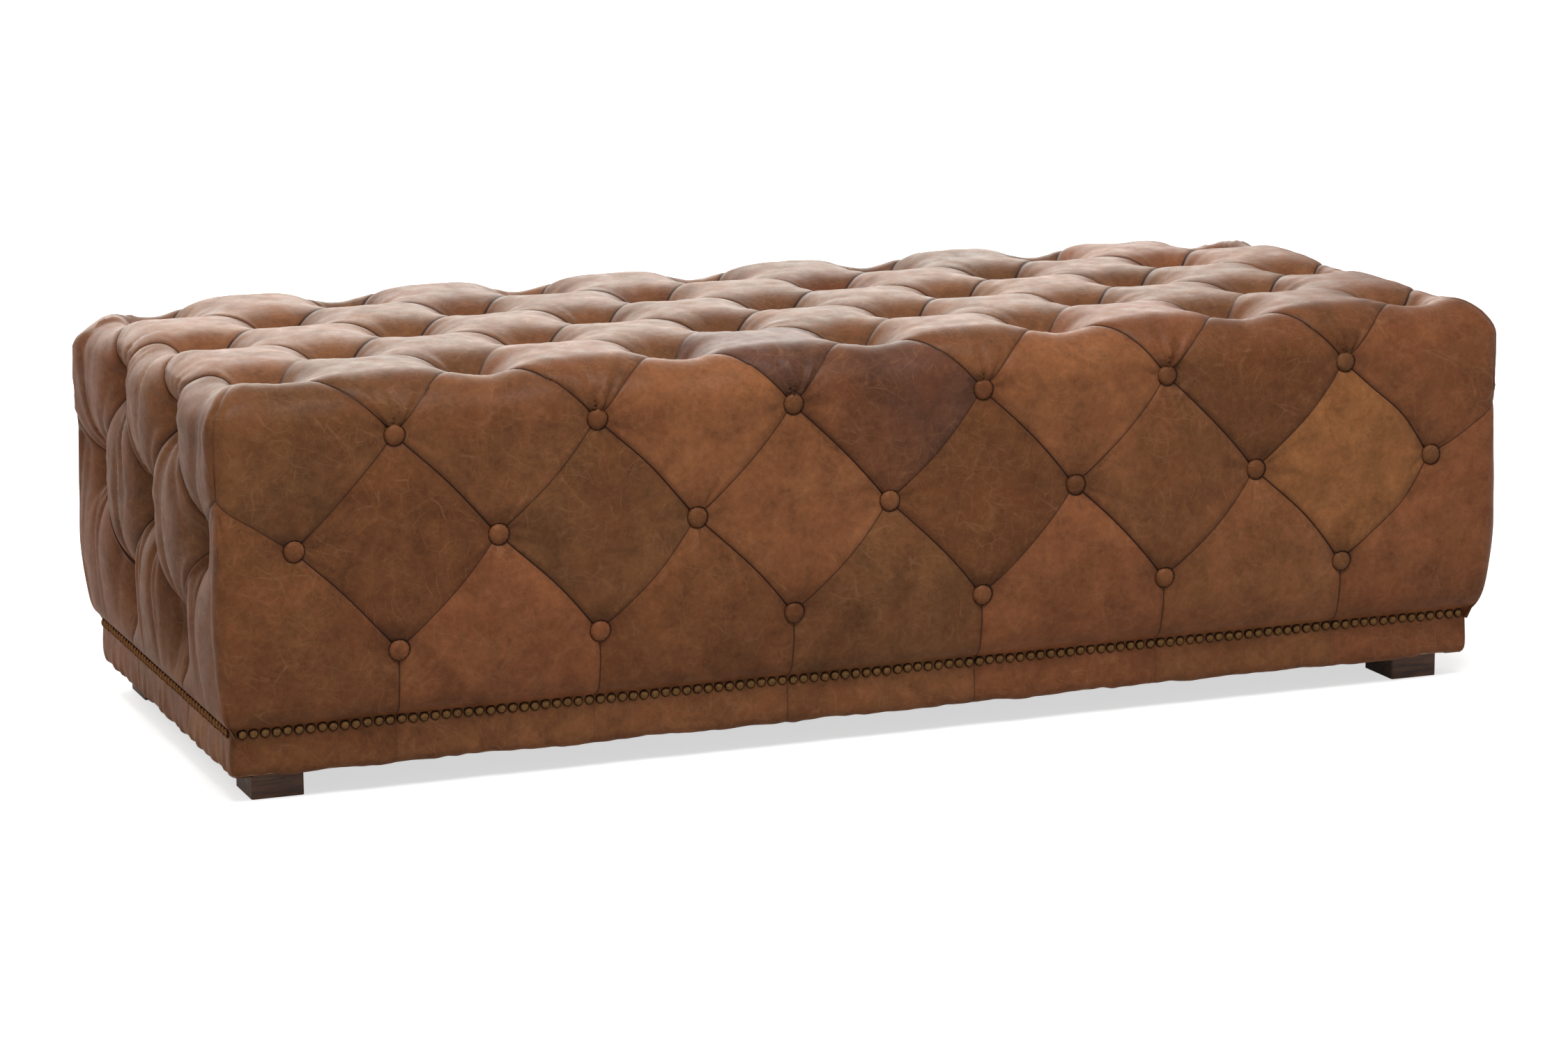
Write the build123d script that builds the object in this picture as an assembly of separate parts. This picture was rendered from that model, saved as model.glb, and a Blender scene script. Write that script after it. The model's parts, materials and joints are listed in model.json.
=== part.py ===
from build123d import *
import math
import os

os.makedirs("parts", exist_ok=True)

# Button grid, with every second row standing half a pitch over
PITCH = 222.0
LONG_COUNT = 7
ROW_STEP = 114.5
TOP_ROW_STEP = 114.3
SHORT_COUNT = 3

# Base and feet
FOOT_HEIGHT = 32.0
FOOT_WIDTH = 57.0
FOOT_DEPTH = 65.0
FOOT_INSET_X = 26.0
FOOT_INSET_Y = 24.0
FOOT_CHAMFER = 1.5
RAIL_HEIGHT = 52.0
RAIL_WIDTH = 45.0
BLOCK_WIDTH = 60.0
CROSS_WIDTH = 30.0
CROSS_HEIGHT = 40.0

# Upper box
PANEL_T = 12.0
POST_WIDTH = 38.0
BATTEN_HEIGHT = 40.0
DOWEL_R = 4.0
DOWEL_LENGTH = 40.0

# Padding, measured inward from the crowns of the tufts
OVERHANG_X = 22.5
OVERHANG_Y = 35.0
LIP_T = 5.0
LIP_PROUD = 2.0
FOAM_T = 12.0
TOP_COVER_T = 38.0
TOP_FOAM_T = 10.0
EDGE_RADIUS = 30.0
CORNER_RADIUS = 32.0

# Distance of the outer buttons from the box that carries them
END_IN = 25.0
SIDE_IN = 37.5
TOP_IN = 15.0
BOTTOM_DROP = 74.0

# Tufts: depth of the button seats, of the seams between them and of the crowns
SEAT_WIDTH = 16.0
SEAM_WIDTH = 4.0
TOP_SEAT = 27.0
TOP_SEAM = 15.0
LONG_SEAT = 13.0
LONG_SEAM = 8.0
SHORT_SEAT = 26.0
SHORT_SEAM = 14.0
CORNER_SEAM = 4.0
CROWN = 1.0
FLAT_LIMIT = 0.1
SECTION_SHARES = (0.0, 0.3, 0.7, 1.0)
MITRE_PAST = 0.1

# Leather band, nailheads and buttons
LEATHER_T = 2.5
BAND_RETURN = 20.0
NAIL_STEP = 12.3
NAIL_R = 5.4
NAIL_RISE = 3.0
NAIL_PIN_R = 0.8
NAIL_PIN_LENGTH = 9.0
NAIL_DROP = 6.0
NAIL_EDGE = 11.5
BUTTON_R = 11.5
BUTTON_NECK_R = 7.0
BUTTON_NECK = 3.0
BUTTON_RIM = 1.5
BUTTON_RISE = 5.0
PIN_R = 1.25
PIN_GRIP = 9.0
CORD_R = 1.25
CORD_GAP = 0.3
WASHER_R = 8.0
WASHER_T = 2.0

# Fasteners
SCREW_R = 2.0
SCREW_HEAD_R = 4.0
SCREW_HEAD = 3.0
SCREW_LENGTH = 34.0
PANEL_SCREW_IN = 40.0
END_SCREW_IN = 60.0
BLOCK_SCREW_LENGTH = 85.0
BLOCK_SCREW_IN = 14.0
BLOCK_SCREW_SHARES = (0.35, 0.65)
RAIL_DOWEL_SHARES = (0.27, 0.67)
CROSS_DOWEL_SHARE = 0.75
BOLT_R = 4.0
BOLT_IN_FOOT = 20.0
BOLT_IN_BLOCK = 34.0
NUT_R = 5.5
NUT_LENGTH = 12.0
FLANGE_R = 8.5
FLANGE_T = 1.5
DUST_T = 1.0
FIT_GAP = 1.5


def centred(count, step):
    return [(i - (count - 1) / 2) * step for i in range(count)]


# Columns of buttons along the length and across the depth
LONG_EVEN = centred(LONG_COUNT, PITCH)
LONG_ODD = centred(LONG_COUNT - 1, PITCH)
SHORT_EVEN = centred(SHORT_COUNT, 2 * TOP_ROW_STEP)
SHORT_ODD = centred(SHORT_COUNT - 1, 2 * TOP_ROW_STEP)
TOP_ROWS = centred(2 * SHORT_COUNT - 1, TOP_ROW_STEP)

# Outer form, from the outer buttons outward
COVER_T = OVERHANG_Y + LIP_T
END_MARGIN = END_IN + PANEL_T + FOAM_T + COVER_T
SIDE_MARGIN = SIDE_IN + PANEL_T + FOAM_T + COVER_T
TOP_DROP = TOP_IN + TOP_FOAM_T + TOP_COVER_T
HALF_X = LONG_EVEN[-1] + END_MARGIN
HALF_Y = SHORT_EVEN[-1] + SIDE_MARGIN
SKIRT_Z = FOOT_HEIGHT + RAIL_HEIGHT
ROW_B = SKIRT_Z + BOTTOM_DROP
ROW_M = ROW_B + ROW_STEP
ROW_T = ROW_M + ROW_STEP
HEIGHT = ROW_T + TOP_DROP

# Layers inside the cover
IN_X = HALF_X - COVER_T
IN_Y = HALF_Y - COVER_T
IN_Z = HEIGHT - TOP_COVER_T
PANEL_X = IN_X - FOAM_T
PANEL_Y = IN_Y - FOAM_T
BOX_X = PANEL_X - PANEL_T
BOX_Y = PANEL_Y - PANEL_T
DECK_Z = IN_Z - TOP_FOAM_T
BATTEN_TOP = DECK_Z - PANEL_T
POST_TOP = BATTEN_TOP - BATTEN_HEIGHT
BATTEN_GAP = 2.0
BATTEN_WIDTH = END_IN - WASHER_R - BATTEN_GAP
BAND_X = HALF_X - OVERHANG_X
BAND_Y = HALF_Y - OVERHANG_Y
RAIL_X = BAND_X - LEATHER_T
RAIL_Y = BAND_Y - LEATHER_T
CROSS_X = (LONG_EVEN[-3] + LONG_ODD[-2]) / 2
FOOT_X = BAND_X - FOOT_INSET_X - FOOT_WIDTH / 2
FOOT_Y = BAND_Y - FOOT_INSET_Y - FOOT_DEPTH / 2
NAIL_Z = SKIRT_Z - NAIL_DROP


def span(x0, x1, y0, y1, z0, z1):
    box = Box(x1 - x0, y1 - y0, z1 - z0)
    return Pos((x0 + x1) / 2, (y0 + y1) / 2, (z0 + z1) / 2) * box


def rod(radius, start, direction, length):
    plane = Plane(origin=start, z_dir=direction)
    return Solid.make_cylinder(radius, length, plane)


def four(x, y):
    return [(i * x, j * y) for i in (-1, 1) for j in (-1, 1)]


def turned(shape):
    return Rot(0, 0, 180) * shape


def drilled(shape, tools):
    return shape.cut(*tools)


def save(name, *solids):
    group = Compound(children=[Part(s.wrapped) for s in solids])
    export_step(group, "parts/" + name + ".step")


# Tufted faces are lofts of sections, each a chain of crowns and seams
def seam_depth(seat, seam, t):
    return seat - (seat - seam) * math.sin(math.pi * t)


def crown_depth(low, share):
    return low - (low - CROWN) * math.sin(math.pi / 2 * share)


def seam_place(even, odd, t):
    side = math.copysign((SEAT_WIDTH - SEAM_WIDTH) / 2, odd - even)
    return (even + side) * (1 - t) + (odd - side) * t


def bulge(at, a, b, depth):
    if abs(depth - (a[1] + b[1]) / 2) < FLAT_LIMIT:
        return Edge.make_line(at(*a), at(*b))
    return Edge.make_three_point_arc(at(*a), at((a[0] + b[0]) / 2, depth), at(*b))


def section(at, start, end, seams, crowns, back):
    edges = []
    here = start
    for (low, high, depth), crown in zip(seams, crowns):
        edges.append(bulge(at, here, (low, depth), crown))
        edges.append(Edge.make_line(at(low, depth), at(high, depth)))
        here = (high, depth)
    edges.append(bulge(at, here, end, crowns[-1]))
    corners = [end, (end[0], back), (start[0], back), start]
    for a, b in zip(corners, corners[1:]):
        edges.append(Edge.make_line(at(*a), at(*b)))
    return Wire(edges)


# Stations along a row: t is 0 on the even columns and 1 on the odd ones
def stations(columns):
    found = []
    for (u0, t0), (u1, t1) in zip(columns, columns[1:]):
        a = u0 + SEAT_WIDTH / 2
        b = u1 - SEAT_WIDTH / 2
        for share in SECTION_SHARES:
            found.append((a + (b - a) * share, t0 + (t1 - t0) * share))
    return found


def columns_of(even, odd):
    return sorted([(u, 0.0) for u in even] + [(u, 1.0) for u in odd])


# One section of a side, from the nail line up to the row beyond the top edge
def wall_section(at, t, seat, seam, tuck, beyond, rise=0.0):
    depth = seam_depth(seat, seam, t)
    half = SEAM_WIDTH / 2
    lower = seam_place(ROW_M, ROW_B, t) + rise
    upper = seam_place(ROW_M, ROW_T, t) + rise
    edge = seam_place(beyond, ROW_T, t)
    foot = half if t < 1.0 else SEAT_WIDTH - half
    seams = [
        (lower - foot, lower + half, depth),
        (upper - half, upper + half, depth),
        (edge - half, edge + half, depth),
    ]
    crowns = [
        crown_depth(seam, 1 - t),
        crown_depth(seat, t),
        crown_depth(seat, 1 - t),
        crown_depth(seat, t),
    ]
    end = (beyond + SEAM_WIDTH, depth)
    return section(at, (SKIRT_Z, tuck), end, seams, crowns, COVER_T + LIP_T)


def wall_loft(place, even, odd, half, seat, seam, tuck, beyond):
    reach = even[-1] + SEAT_WIDTH / 2
    inner = [(-reach, 0.0)] + stations(columns_of(even, odd)) + [(reach, 0.0)]
    wires = [wall_section(place(u), t, seat, seam, tuck, beyond) for u, t in inner]
    edge = (0.0, CORNER_SEAM, CORNER_SEAM, tuck, beyond, ROW_STEP / 2)
    corner = [wall_section(place(u), *edge) for u in (-half, half)]
    return Solid.make_loft([corner[0]] + wires + [corner[1]], ruled=True)


# One section of the top, from beyond the front edge to beyond the rear edge
def top_section(at, t):
    depth = seam_depth(TOP_SEAT, TOP_SEAM, t)
    half = SEAM_WIDTH / 2
    rows = [-HALF_Y - TOP_DROP] + TOP_ROWS + [HALF_Y + TOP_DROP]
    seams = []
    for k in range(len(rows) - 1):
        even, odd = (rows[k + 1], rows[k]) if k % 2 == 0 else (rows[k], rows[k + 1])
        place = seam_place(even, odd, t)
        seams.append((place - half, place + half, depth))
    shares = [1 - t if k % 2 == 0 else t for k in range(len(rows))]
    crowns = [crown_depth(TOP_SEAT, share) for share in shares]
    start = (rows[0] - SEAM_WIDTH, depth)
    end = (rows[-1] + SEAM_WIDTH, depth)
    return section(at, start, end, seams, crowns, TOP_COVER_T + LIP_T)


def top_loft(place):
    beyond = HALF_X + TOP_DROP
    columns = columns_of(LONG_EVEN, [-beyond] + LONG_ODD + [beyond])
    return Solid.make_loft([top_section(place(u), t) for u, t in stations(columns)], ruled=True)


def long_place(u):
    return lambda s, d: Vector(u, d - HALF_Y, s)


def short_place(u):
    return lambda s, d: Vector(d - HALF_X, u, s)


def top_place(u):
    return lambda s, d: Vector(u, s, HEIGHT - d)


# A face of the cover is mitred to its neighbours and rounded along the edges
def rect(x0, x1, y0, y1, place):
    return Wire.make_polygon([place(x0, y0), place(x1, y0), place(x1, y1), place(x0, y1)])


def mitred(place, low, high):
    wires = []
    for share in (1.0, -MITRE_PAST):
        x, y0, y1 = [a + (b - a) * (1 - share) for a, b in zip(low, high)]
        wires.append(rect(-x, x, y0, y1, place(share)))
    return Solid.make_loft(wires, ruled=True)


FLOOR_CUT = SKIRT_Z - LIP_T
hull = span(-HALF_X, HALF_X, -HALF_Y, HALF_Y, FLOOR_CUT, HEIGHT)
hull = fillet(hull.edges().filter_by(Axis.Z), CORNER_RADIUS)
hull = fillet(hull.faces().sort_by(Axis.Z)[-1].edges(), EDGE_RADIUS)


# The skirt draws in to the band, in the same height on all sides
def skirt_outline(z):
    share = (z - SKIRT_Z) / (OVERHANG_Y - LIP_PROUD)
    x = BAND_X + 2 * LIP_PROUD + share * (OVERHANG_X - LIP_PROUD)
    y = BAND_Y + 2 * LIP_PROUD + share * (OVERHANG_Y - LIP_PROUD)
    return rect(-x, x, -y, y, lambda a, b: Vector(a, b, z))


hull = hull & Solid.make_loft([skirt_outline(FLOOR_CUT), skirt_outline(HEIGHT + LIP_T)], ruled=True)

front_wedge = mitred(
    lambda share: lambda x, z: Vector(x, share * COVER_T - HALF_Y, z),
    (IN_X, FLOOR_CUT, IN_Z),
    (HALF_X, FLOOR_CUT, HEIGHT),
)
left_wedge = mitred(
    lambda share: lambda y, z: Vector(share * COVER_T - HALF_X, y, z),
    (IN_Y, FLOOR_CUT, IN_Z),
    (HALF_Y, FLOOR_CUT, HEIGHT),
)
top_wedge = mitred(
    lambda share: lambda x, y: Vector(x, y, HEIGHT - share * TOP_COVER_T),
    (IN_X, -IN_Y, IN_Y),
    (HALF_X, -HALF_Y, HALF_Y),
)

front_loft = wall_loft(
    long_place, LONG_EVEN, LONG_ODD, HALF_X + LIP_T, LONG_SEAT, LONG_SEAM,
    OVERHANG_Y - LIP_PROUD, HEIGHT + SIDE_MARGIN,
)
left_loft = wall_loft(
    short_place, SHORT_EVEN, SHORT_ODD, HALF_Y + LIP_T, SHORT_SEAT, SHORT_SEAM,
    OVERHANG_X - LIP_PROUD, HEIGHT + END_MARGIN,
)

# Seats of the buttons on each face
LONG_SPOTS = [(u, ROW_M) for u in LONG_EVEN] + [(u, z) for u in LONG_ODD for z in (ROW_B, ROW_T)]
SHORT_SPOTS = [(u, ROW_M) for u in SHORT_EVEN] + [(u, z) for u in SHORT_ODD for z in (ROW_B, ROW_T)]
TOP_SPOTS = [(x, y) for x in LONG_EVEN for y in TOP_ROWS[0::2]]
TOP_SPOTS += [(x, y) for x in LONG_ODD for y in TOP_ROWS[1::2]]


def front_pin(u, z, depth, length, radius):
    return rod(radius, (u, depth - HALF_Y, z), (0, 1, 0), length)


def left_pin(u, z, depth, length, radius):
    return rod(radius, (depth - HALF_X, u, z), (1, 0, 0), length)


PIN_REACH = COVER_T + FOAM_T + PIN_GRIP
front_holes = [front_pin(u, z, 0, PIN_REACH, PIN_R) for u, z in LONG_SPOTS]
left_holes = [left_pin(u, z, 0, PIN_REACH, PIN_R) for u, z in SHORT_SPOTS]
HOLE_R = CORD_R + CORD_GAP
top_holes = [rod(HOLE_R, (x, y, BATTEN_TOP), (0, 0, 1), TOP_DROP) for x, y in TOP_SPOTS]

front_cover = drilled(front_loft & (front_wedge & hull), front_holes)
left_cover = drilled(left_loft & (left_wedge & hull), left_holes)
top_cover = drilled(top_loft(top_place) & (top_wedge & hull), top_holes)
save("front_cover", front_cover)
save("rear_cover", turned(front_cover))
save("left_cover", left_cover)
save("right_cover", turned(left_cover))
save("top_cover", top_cover)

# Foam under each face of the cover
front_foam = span(-IN_X, IN_X, -IN_Y, -PANEL_Y, SKIRT_Z, DECK_Z)
left_foam = span(-IN_X, -PANEL_X, -PANEL_Y, PANEL_Y, SKIRT_Z, DECK_Z)
top_foam = span(-IN_X, IN_X, -IN_Y, IN_Y, DECK_Z, IN_Z)
front_foam = drilled(front_foam, front_holes)
left_foam = drilled(left_foam, left_holes)
save("front_foam", front_foam)
save("rear_foam", turned(front_foam))
save("left_foam", left_foam)
save("right_foam", turned(left_foam))
save("top_foam", drilled(top_foam, top_holes))


# A shallow dome is the cap of a ball
def dome(radius, rise):
    ball = (radius ** 2 + rise ** 2) / (2 * rise)
    edge = Vector(radius, 0, 0)
    peak = Vector(0, 0, rise)
    angle = math.asin(radius / ball) / 2
    middle = Vector(ball * math.sin(angle), 0, rise - ball * (1 - math.cos(angle)))
    foot = Vector(0, 0, 0)
    edges = [Edge.make_line(foot, edge), Edge.make_three_point_arc(edge, middle, peak)]
    edges.append(Edge.make_line(peak, foot))
    return revolve(Face(Wire(edges)), Axis.Z)


# Buttons: a domed cap on a neck, which stands on the seat
def plain_button():
    rim = BUTTON_NECK + BUTTON_RIM
    cap = Pos(0, 0, BUTTON_NECK + BUTTON_RIM / 2) * Cylinder(BUTTON_R, BUTTON_RIM)
    neck = Pos(0, 0, BUTTON_NECK / 2) * Cylinder(BUTTON_NECK_R, BUTTON_NECK)
    return cap + neck + Pos(0, 0, rim) * dome(BUTTON_R, BUTTON_RISE)


def pinned_button(shank):
    return plain_button() + Pos(0, 0, -shank / 2) * Cylinder(PIN_R, shank)


long_button = pinned_button(PIN_REACH - LONG_SEAT)
short_button = pinned_button(PIN_REACH - SHORT_SEAT)
front_buttons = [Pos(u, LONG_SEAT - HALF_Y, z) * Rot(90, 0, 0) * long_button for u, z in LONG_SPOTS]
left_buttons = [Pos(SHORT_SEAT - HALF_X, u, z) * Rot(0, -90, 0) * short_button for u, z in SHORT_SPOTS]
top_buttons = [Pos(x, y, HEIGHT - TOP_SEAT) * plain_button() for x, y in TOP_SPOTS]
save("front_buttons", *front_buttons)
save("rear_buttons", *[turned(b) for b in front_buttons])
save("left_buttons", *left_buttons)
save("right_buttons", *[turned(b) for b in left_buttons])
save("top_buttons", *top_buttons)

# Cords of the top buttons, held by washers under the deck
CORD_END = BATTEN_TOP - WASHER_T
CORD_LENGTH = HEIGHT - TOP_SEAT - CORD_END
washer = rod(WASHER_R, (0, 0, CORD_END), (0, 0, 1), WASHER_T)
washer = drilled(washer, [rod(CORD_R, (0, 0, CORD_END), (0, 0, 1), WASHER_T)])
cord = rod(CORD_R, (0, 0, CORD_END), (0, 0, 1), CORD_LENGTH)
save("cord_washers", *[Pos(x, y, 0) * washer for x, y in TOP_SPOTS])
save("button_cords", *[Pos(x, y, 0) * cord for x, y in TOP_SPOTS])


# Nailheads stand in one row just under the cover
def nail_row(half):
    reach = half - NAIL_EDGE
    count = int(2 * reach / NAIL_STEP) + 1
    return centred(count, 2 * reach / (count - 1))


nail = dome(NAIL_R, NAIL_RISE)
nail = nail + Pos(0, 0, -NAIL_PIN_LENGTH / 2) * Cylinder(NAIL_PIN_R, NAIL_PIN_LENGTH)
front_nails = [Pos(u, -BAND_Y, NAIL_Z) * Rot(90, 0, 0) * nail for u in nail_row(BAND_X)]
left_nails = [Pos(-BAND_X, u, NAIL_Z) * Rot(0, -90, 0) * nail for u in nail_row(BAND_Y)]
save("front_nails", *front_nails)
save("rear_nails", *[turned(n) for n in front_nails])
save("left_nails", *left_nails)
save("right_nails", *[turned(n) for n in left_nails])

# Holes for the pins of the nailheads, one row on each side
pin_hole = rod(NAIL_PIN_R, (0, 0, 0), (0, 0, -1), NAIL_PIN_LENGTH)
front_drills = [Pos(u, -BAND_Y, NAIL_Z) * Rot(90, 0, 0) * pin_hole for u in nail_row(BAND_X)]
left_drills = [Pos(-BAND_X, u, NAIL_Z) * Rot(0, -90, 0) * pin_hole for u in nail_row(BAND_Y)]
rear_drills = [turned(d) for d in front_drills]
right_drills = [turned(d) for d in left_drills]

# Leather band round the rails, folded under them, in strips sewn at the upright seams
RETURN_Z = FOOT_HEIGHT - LEATHER_T
band = span(-BAND_X, BAND_X, -BAND_Y, BAND_Y, RETURN_Z, SKIRT_Z)
band = fillet(band.edges().filter_by(Axis.Z), LEATHER_T)
band = band - span(-RAIL_X, RAIL_X, -RAIL_Y, RAIL_Y, FOOT_HEIGHT, SKIRT_Z)
RETURN_X = BAND_X - BAND_RETURN
RETURN_Y = BAND_Y - BAND_RETURN
band = band - span(-RETURN_X, RETURN_X, -RETURN_Y, RETURN_Y, RETURN_Z, FOOT_HEIGHT)
band = drilled(band.solid(), front_drills + rear_drills + left_drills + right_drills)
SEAM_X = LONG_ODD[-1]
SEAM_Y = SHORT_ODD[-1]
front_part = span(-SEAM_X, SEAM_X, -HALF_Y, -RETURN_Y, RETURN_Z, SKIRT_Z)
left_part = span(-HALF_X, -RETURN_X, -SEAM_Y, SEAM_Y, RETURN_Z, SKIRT_Z)
front_band = (band & front_part).solid()
left_band = (band & left_part).solid()
corner_parts = [span(*sorted((i * SEAM_X, i * HALF_X)), *sorted((j * SEAM_Y, j * HALF_Y)),
                     RETURN_Z, SKIRT_Z) for i, j in four(1, 1)]
save("front_band", front_band)
save("rear_band", turned(front_band))
save("left_band", left_band)
save("right_band", turned(left_band))
save("corner_bands", *[(band & part).solid() for part in corner_parts])

# Feet, each on a hanger bolt in a tee nut
foot = span(-FOOT_WIDTH / 2, FOOT_WIDTH / 2, -FOOT_DEPTH / 2, FOOT_DEPTH / 2, 0, FOOT_HEIGHT)
foot = chamfer(foot.edges().filter_by(Axis.Z), FOOT_CHAMFER)
BOLT_LOW = FOOT_HEIGHT - BOLT_IN_FOOT
foot = drilled(foot.solid(), [rod(BOLT_R, (0, 0, BOLT_LOW), (0, 0, 1), BOLT_IN_FOOT)])
bolt = rod(BOLT_R, (0, 0, BOLT_LOW), (0, 0, 1), BOLT_IN_FOOT + BOLT_IN_BLOCK)
flange = rod(FLANGE_R, (0, 0, FOOT_HEIGHT), (0, 0, 1), FLANGE_T)
barrel = rod(NUT_R, (0, 0, FOOT_HEIGHT), (0, 0, 1), NUT_LENGTH)
nut_body = flange + barrel
nut = nut_body - bolt
foot_names = ["front_left_foot", "rear_left_foot", "front_right_foot", "rear_right_foot"]
FEET = [Pos(x, y, 0) for x, y in four(FOOT_X, FOOT_Y)]
for name, place in zip(foot_names, FEET):
    save(name, place * foot)
save("hanger_bolts", *[place * bolt for place in FEET])
save("tee_nuts", *[place * nut for place in FEET])
foot_sinks = [place * shape for place in FEET for shape in (flange, barrel, bolt)]

# Dowels: upright ones in the posts, level ones in the rails
DOWEL_Y = BOX_Y - BATTEN_WIDTH / 2
POST_X = BOX_X - POST_WIDTH / 2
POST_Y = BOX_Y - POST_WIDTH / 2
post_dowels = []
for x, y in four(POST_X, DOWEL_Y) + four(CROSS_X, DOWEL_Y):
    for z in (SKIRT_Z, POST_TOP):
        post_dowels.append(rod(DOWEL_R, (x, y, z - DOWEL_LENGTH / 2), (0, 0, 1), DOWEL_LENGTH))
RAIL_IN_X = RAIL_X - RAIL_WIDTH
RAIL_IN_Y = RAIL_Y - RAIL_WIDTH
RAIL_DOWEL_Z = [FOOT_HEIGHT + RAIL_HEIGHT * share for share in RAIL_DOWEL_SHARES]
CROSS_DOWEL_Z = SKIRT_Z - CROSS_HEIGHT * CROSS_DOWEL_SHARE
dowel_places = [(x, y, z) for x, y in four(RAIL_X - RAIL_WIDTH / 2, RAIL_IN_Y) for z in RAIL_DOWEL_Z]
dowel_places += [(x, y, CROSS_DOWEL_Z) for x, y in four(CROSS_X, RAIL_IN_Y)]
level_dowel = rod(DOWEL_R, (0, -DOWEL_LENGTH / 2, 0), (0, 1, 0), DOWEL_LENGTH)
rail_dowels = [Pos(*place) * level_dowel for place in dowel_places]
save("post_dowels", *post_dowels)
save("rail_dowels", *rail_dowels)


# Screws with flat heads, sunk flush
def screw(start, direction, length):
    head = rod(SCREW_HEAD_R, start, direction, SCREW_HEAD)
    return head + rod(SCREW_R, start, direction, length)


BLOCK_X = RAIL_IN_X - BLOCK_WIDTH
BLOCK_Y = RAIL_IN_Y - BLOCK_WIDTH
BLOCK_SCREW_Z = [FOOT_HEIGHT + RAIL_HEIGHT * share for share in BLOCK_SCREW_SHARES]
block_screws = []
for i, j in four(1, 1):
    start = (i * (BLOCK_X + BLOCK_SCREW_IN), j * BLOCK_Y, BLOCK_SCREW_Z[0])
    block_screws.append(screw(start, (0, j, 0), BLOCK_SCREW_LENGTH))
    start = (i * BLOCK_X, j * (BLOCK_Y + BLOCK_SCREW_IN), BLOCK_SCREW_Z[1])
    block_screws.append(screw(start, (i, 0, 0), BLOCK_SCREW_LENGTH))
save("block_screws", *block_screws)

PANEL_SCREW_Z = (SKIRT_Z + PANEL_SCREW_IN, POST_TOP - PANEL_SCREW_IN)
END_SCREW_Z = (SKIRT_Z + END_SCREW_IN, POST_TOP - END_SCREW_IN)
panel_screws = []
for x, y in four(POST_X, PANEL_Y) + four(CROSS_X, PANEL_Y):
    for z in PANEL_SCREW_Z:
        panel_screws.append(screw((x, y, z), (0, -math.copysign(1, y), 0), SCREW_LENGTH))
for x, y in four(PANEL_X, POST_Y):
    for z in END_SCREW_Z:
        panel_screws.append(screw((x, y, z), (-math.copysign(1, x), 0, 0), SCREW_LENGTH))
save("panel_screws", *panel_screws)

DECK_SCREW_X = (LONG_ODD[-1], LONG_ODD[-3])
deck_screws = []
for u in DECK_SCREW_X:
    for x, y in four(u, DOWEL_Y):
        deck_screws.append(screw((x, y, DECK_Z), (0, 0, -1), SCREW_LENGTH))
save("deck_screws", *deck_screws)

# Base frame
base_tools = foot_sinks + post_dowels + rail_dowels + block_screws
front_rail = span(-RAIL_X, RAIL_X, -RAIL_Y, -RAIL_IN_Y, FOOT_HEIGHT, SKIRT_Z)
left_rail = span(-RAIL_X, -RAIL_IN_X, -RAIL_IN_Y, RAIL_IN_Y, FOOT_HEIGHT, SKIRT_Z)
front_tools = base_tools + front_drills + left_drills + right_drills
front_rail = drilled(front_rail, front_tools)
left_rail = drilled(left_rail, base_tools + left_drills)
save("front_rail", front_rail)
save("rear_rail", turned(front_rail))
save("left_rail", left_rail)
save("right_rail", turned(left_rail))
CROSS_HALF = CROSS_WIDTH / 2
cross_rail = span(-CROSS_HALF, CROSS_HALF, -RAIL_IN_Y, RAIL_IN_Y, SKIRT_Z - CROSS_HEIGHT, SKIRT_Z)
save("base_cross_rails", *[drilled(Pos(i * CROSS_X, 0, 0) * cross_rail, rail_dowels) for i in (-1, 1)])
blocks = [span(*sorted((i * BLOCK_X, i * RAIL_IN_X)), *sorted((j * BLOCK_Y, j * RAIL_IN_Y)),
               FOOT_HEIGHT, SKIRT_Z) for i, j in four(1, 1)]
save("corner_blocks", *[drilled(block, base_tools) for block in blocks])

# Upper box
post_tools = post_dowels + panel_screws
POST_HALF = POST_WIDTH / 2
corner_post = span(-POST_HALF, POST_HALF, -POST_HALF, POST_HALF, SKIRT_Z, POST_TOP)
middle_post = span(-CROSS_HALF, CROSS_HALF, -POST_HALF, POST_HALF, SKIRT_Z, POST_TOP)
corner_posts = [Pos(x, y, 0) * corner_post for x, y in four(POST_X, POST_Y)]
middle_posts = [Pos(x, y, 0) * middle_post for x, y in four(CROSS_X, POST_Y)]
save("corner_posts", *[drilled(post, post_tools) for post in corner_posts])
save("middle_posts", *[drilled(post, post_tools) for post in middle_posts])
front_panel = span(-PANEL_X, PANEL_X, -PANEL_Y, -BOX_Y, SKIRT_Z, DECK_Z)
left_panel = span(-PANEL_X, -BOX_X, -BOX_Y, BOX_Y, SKIRT_Z, DECK_Z)
front_panel = drilled(front_panel, front_holes + panel_screws)
left_panel = drilled(left_panel, left_holes + panel_screws)
save("front_panel", front_panel)
save("rear_panel", turned(front_panel))
save("left_panel", left_panel)
save("right_panel", turned(left_panel))

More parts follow.
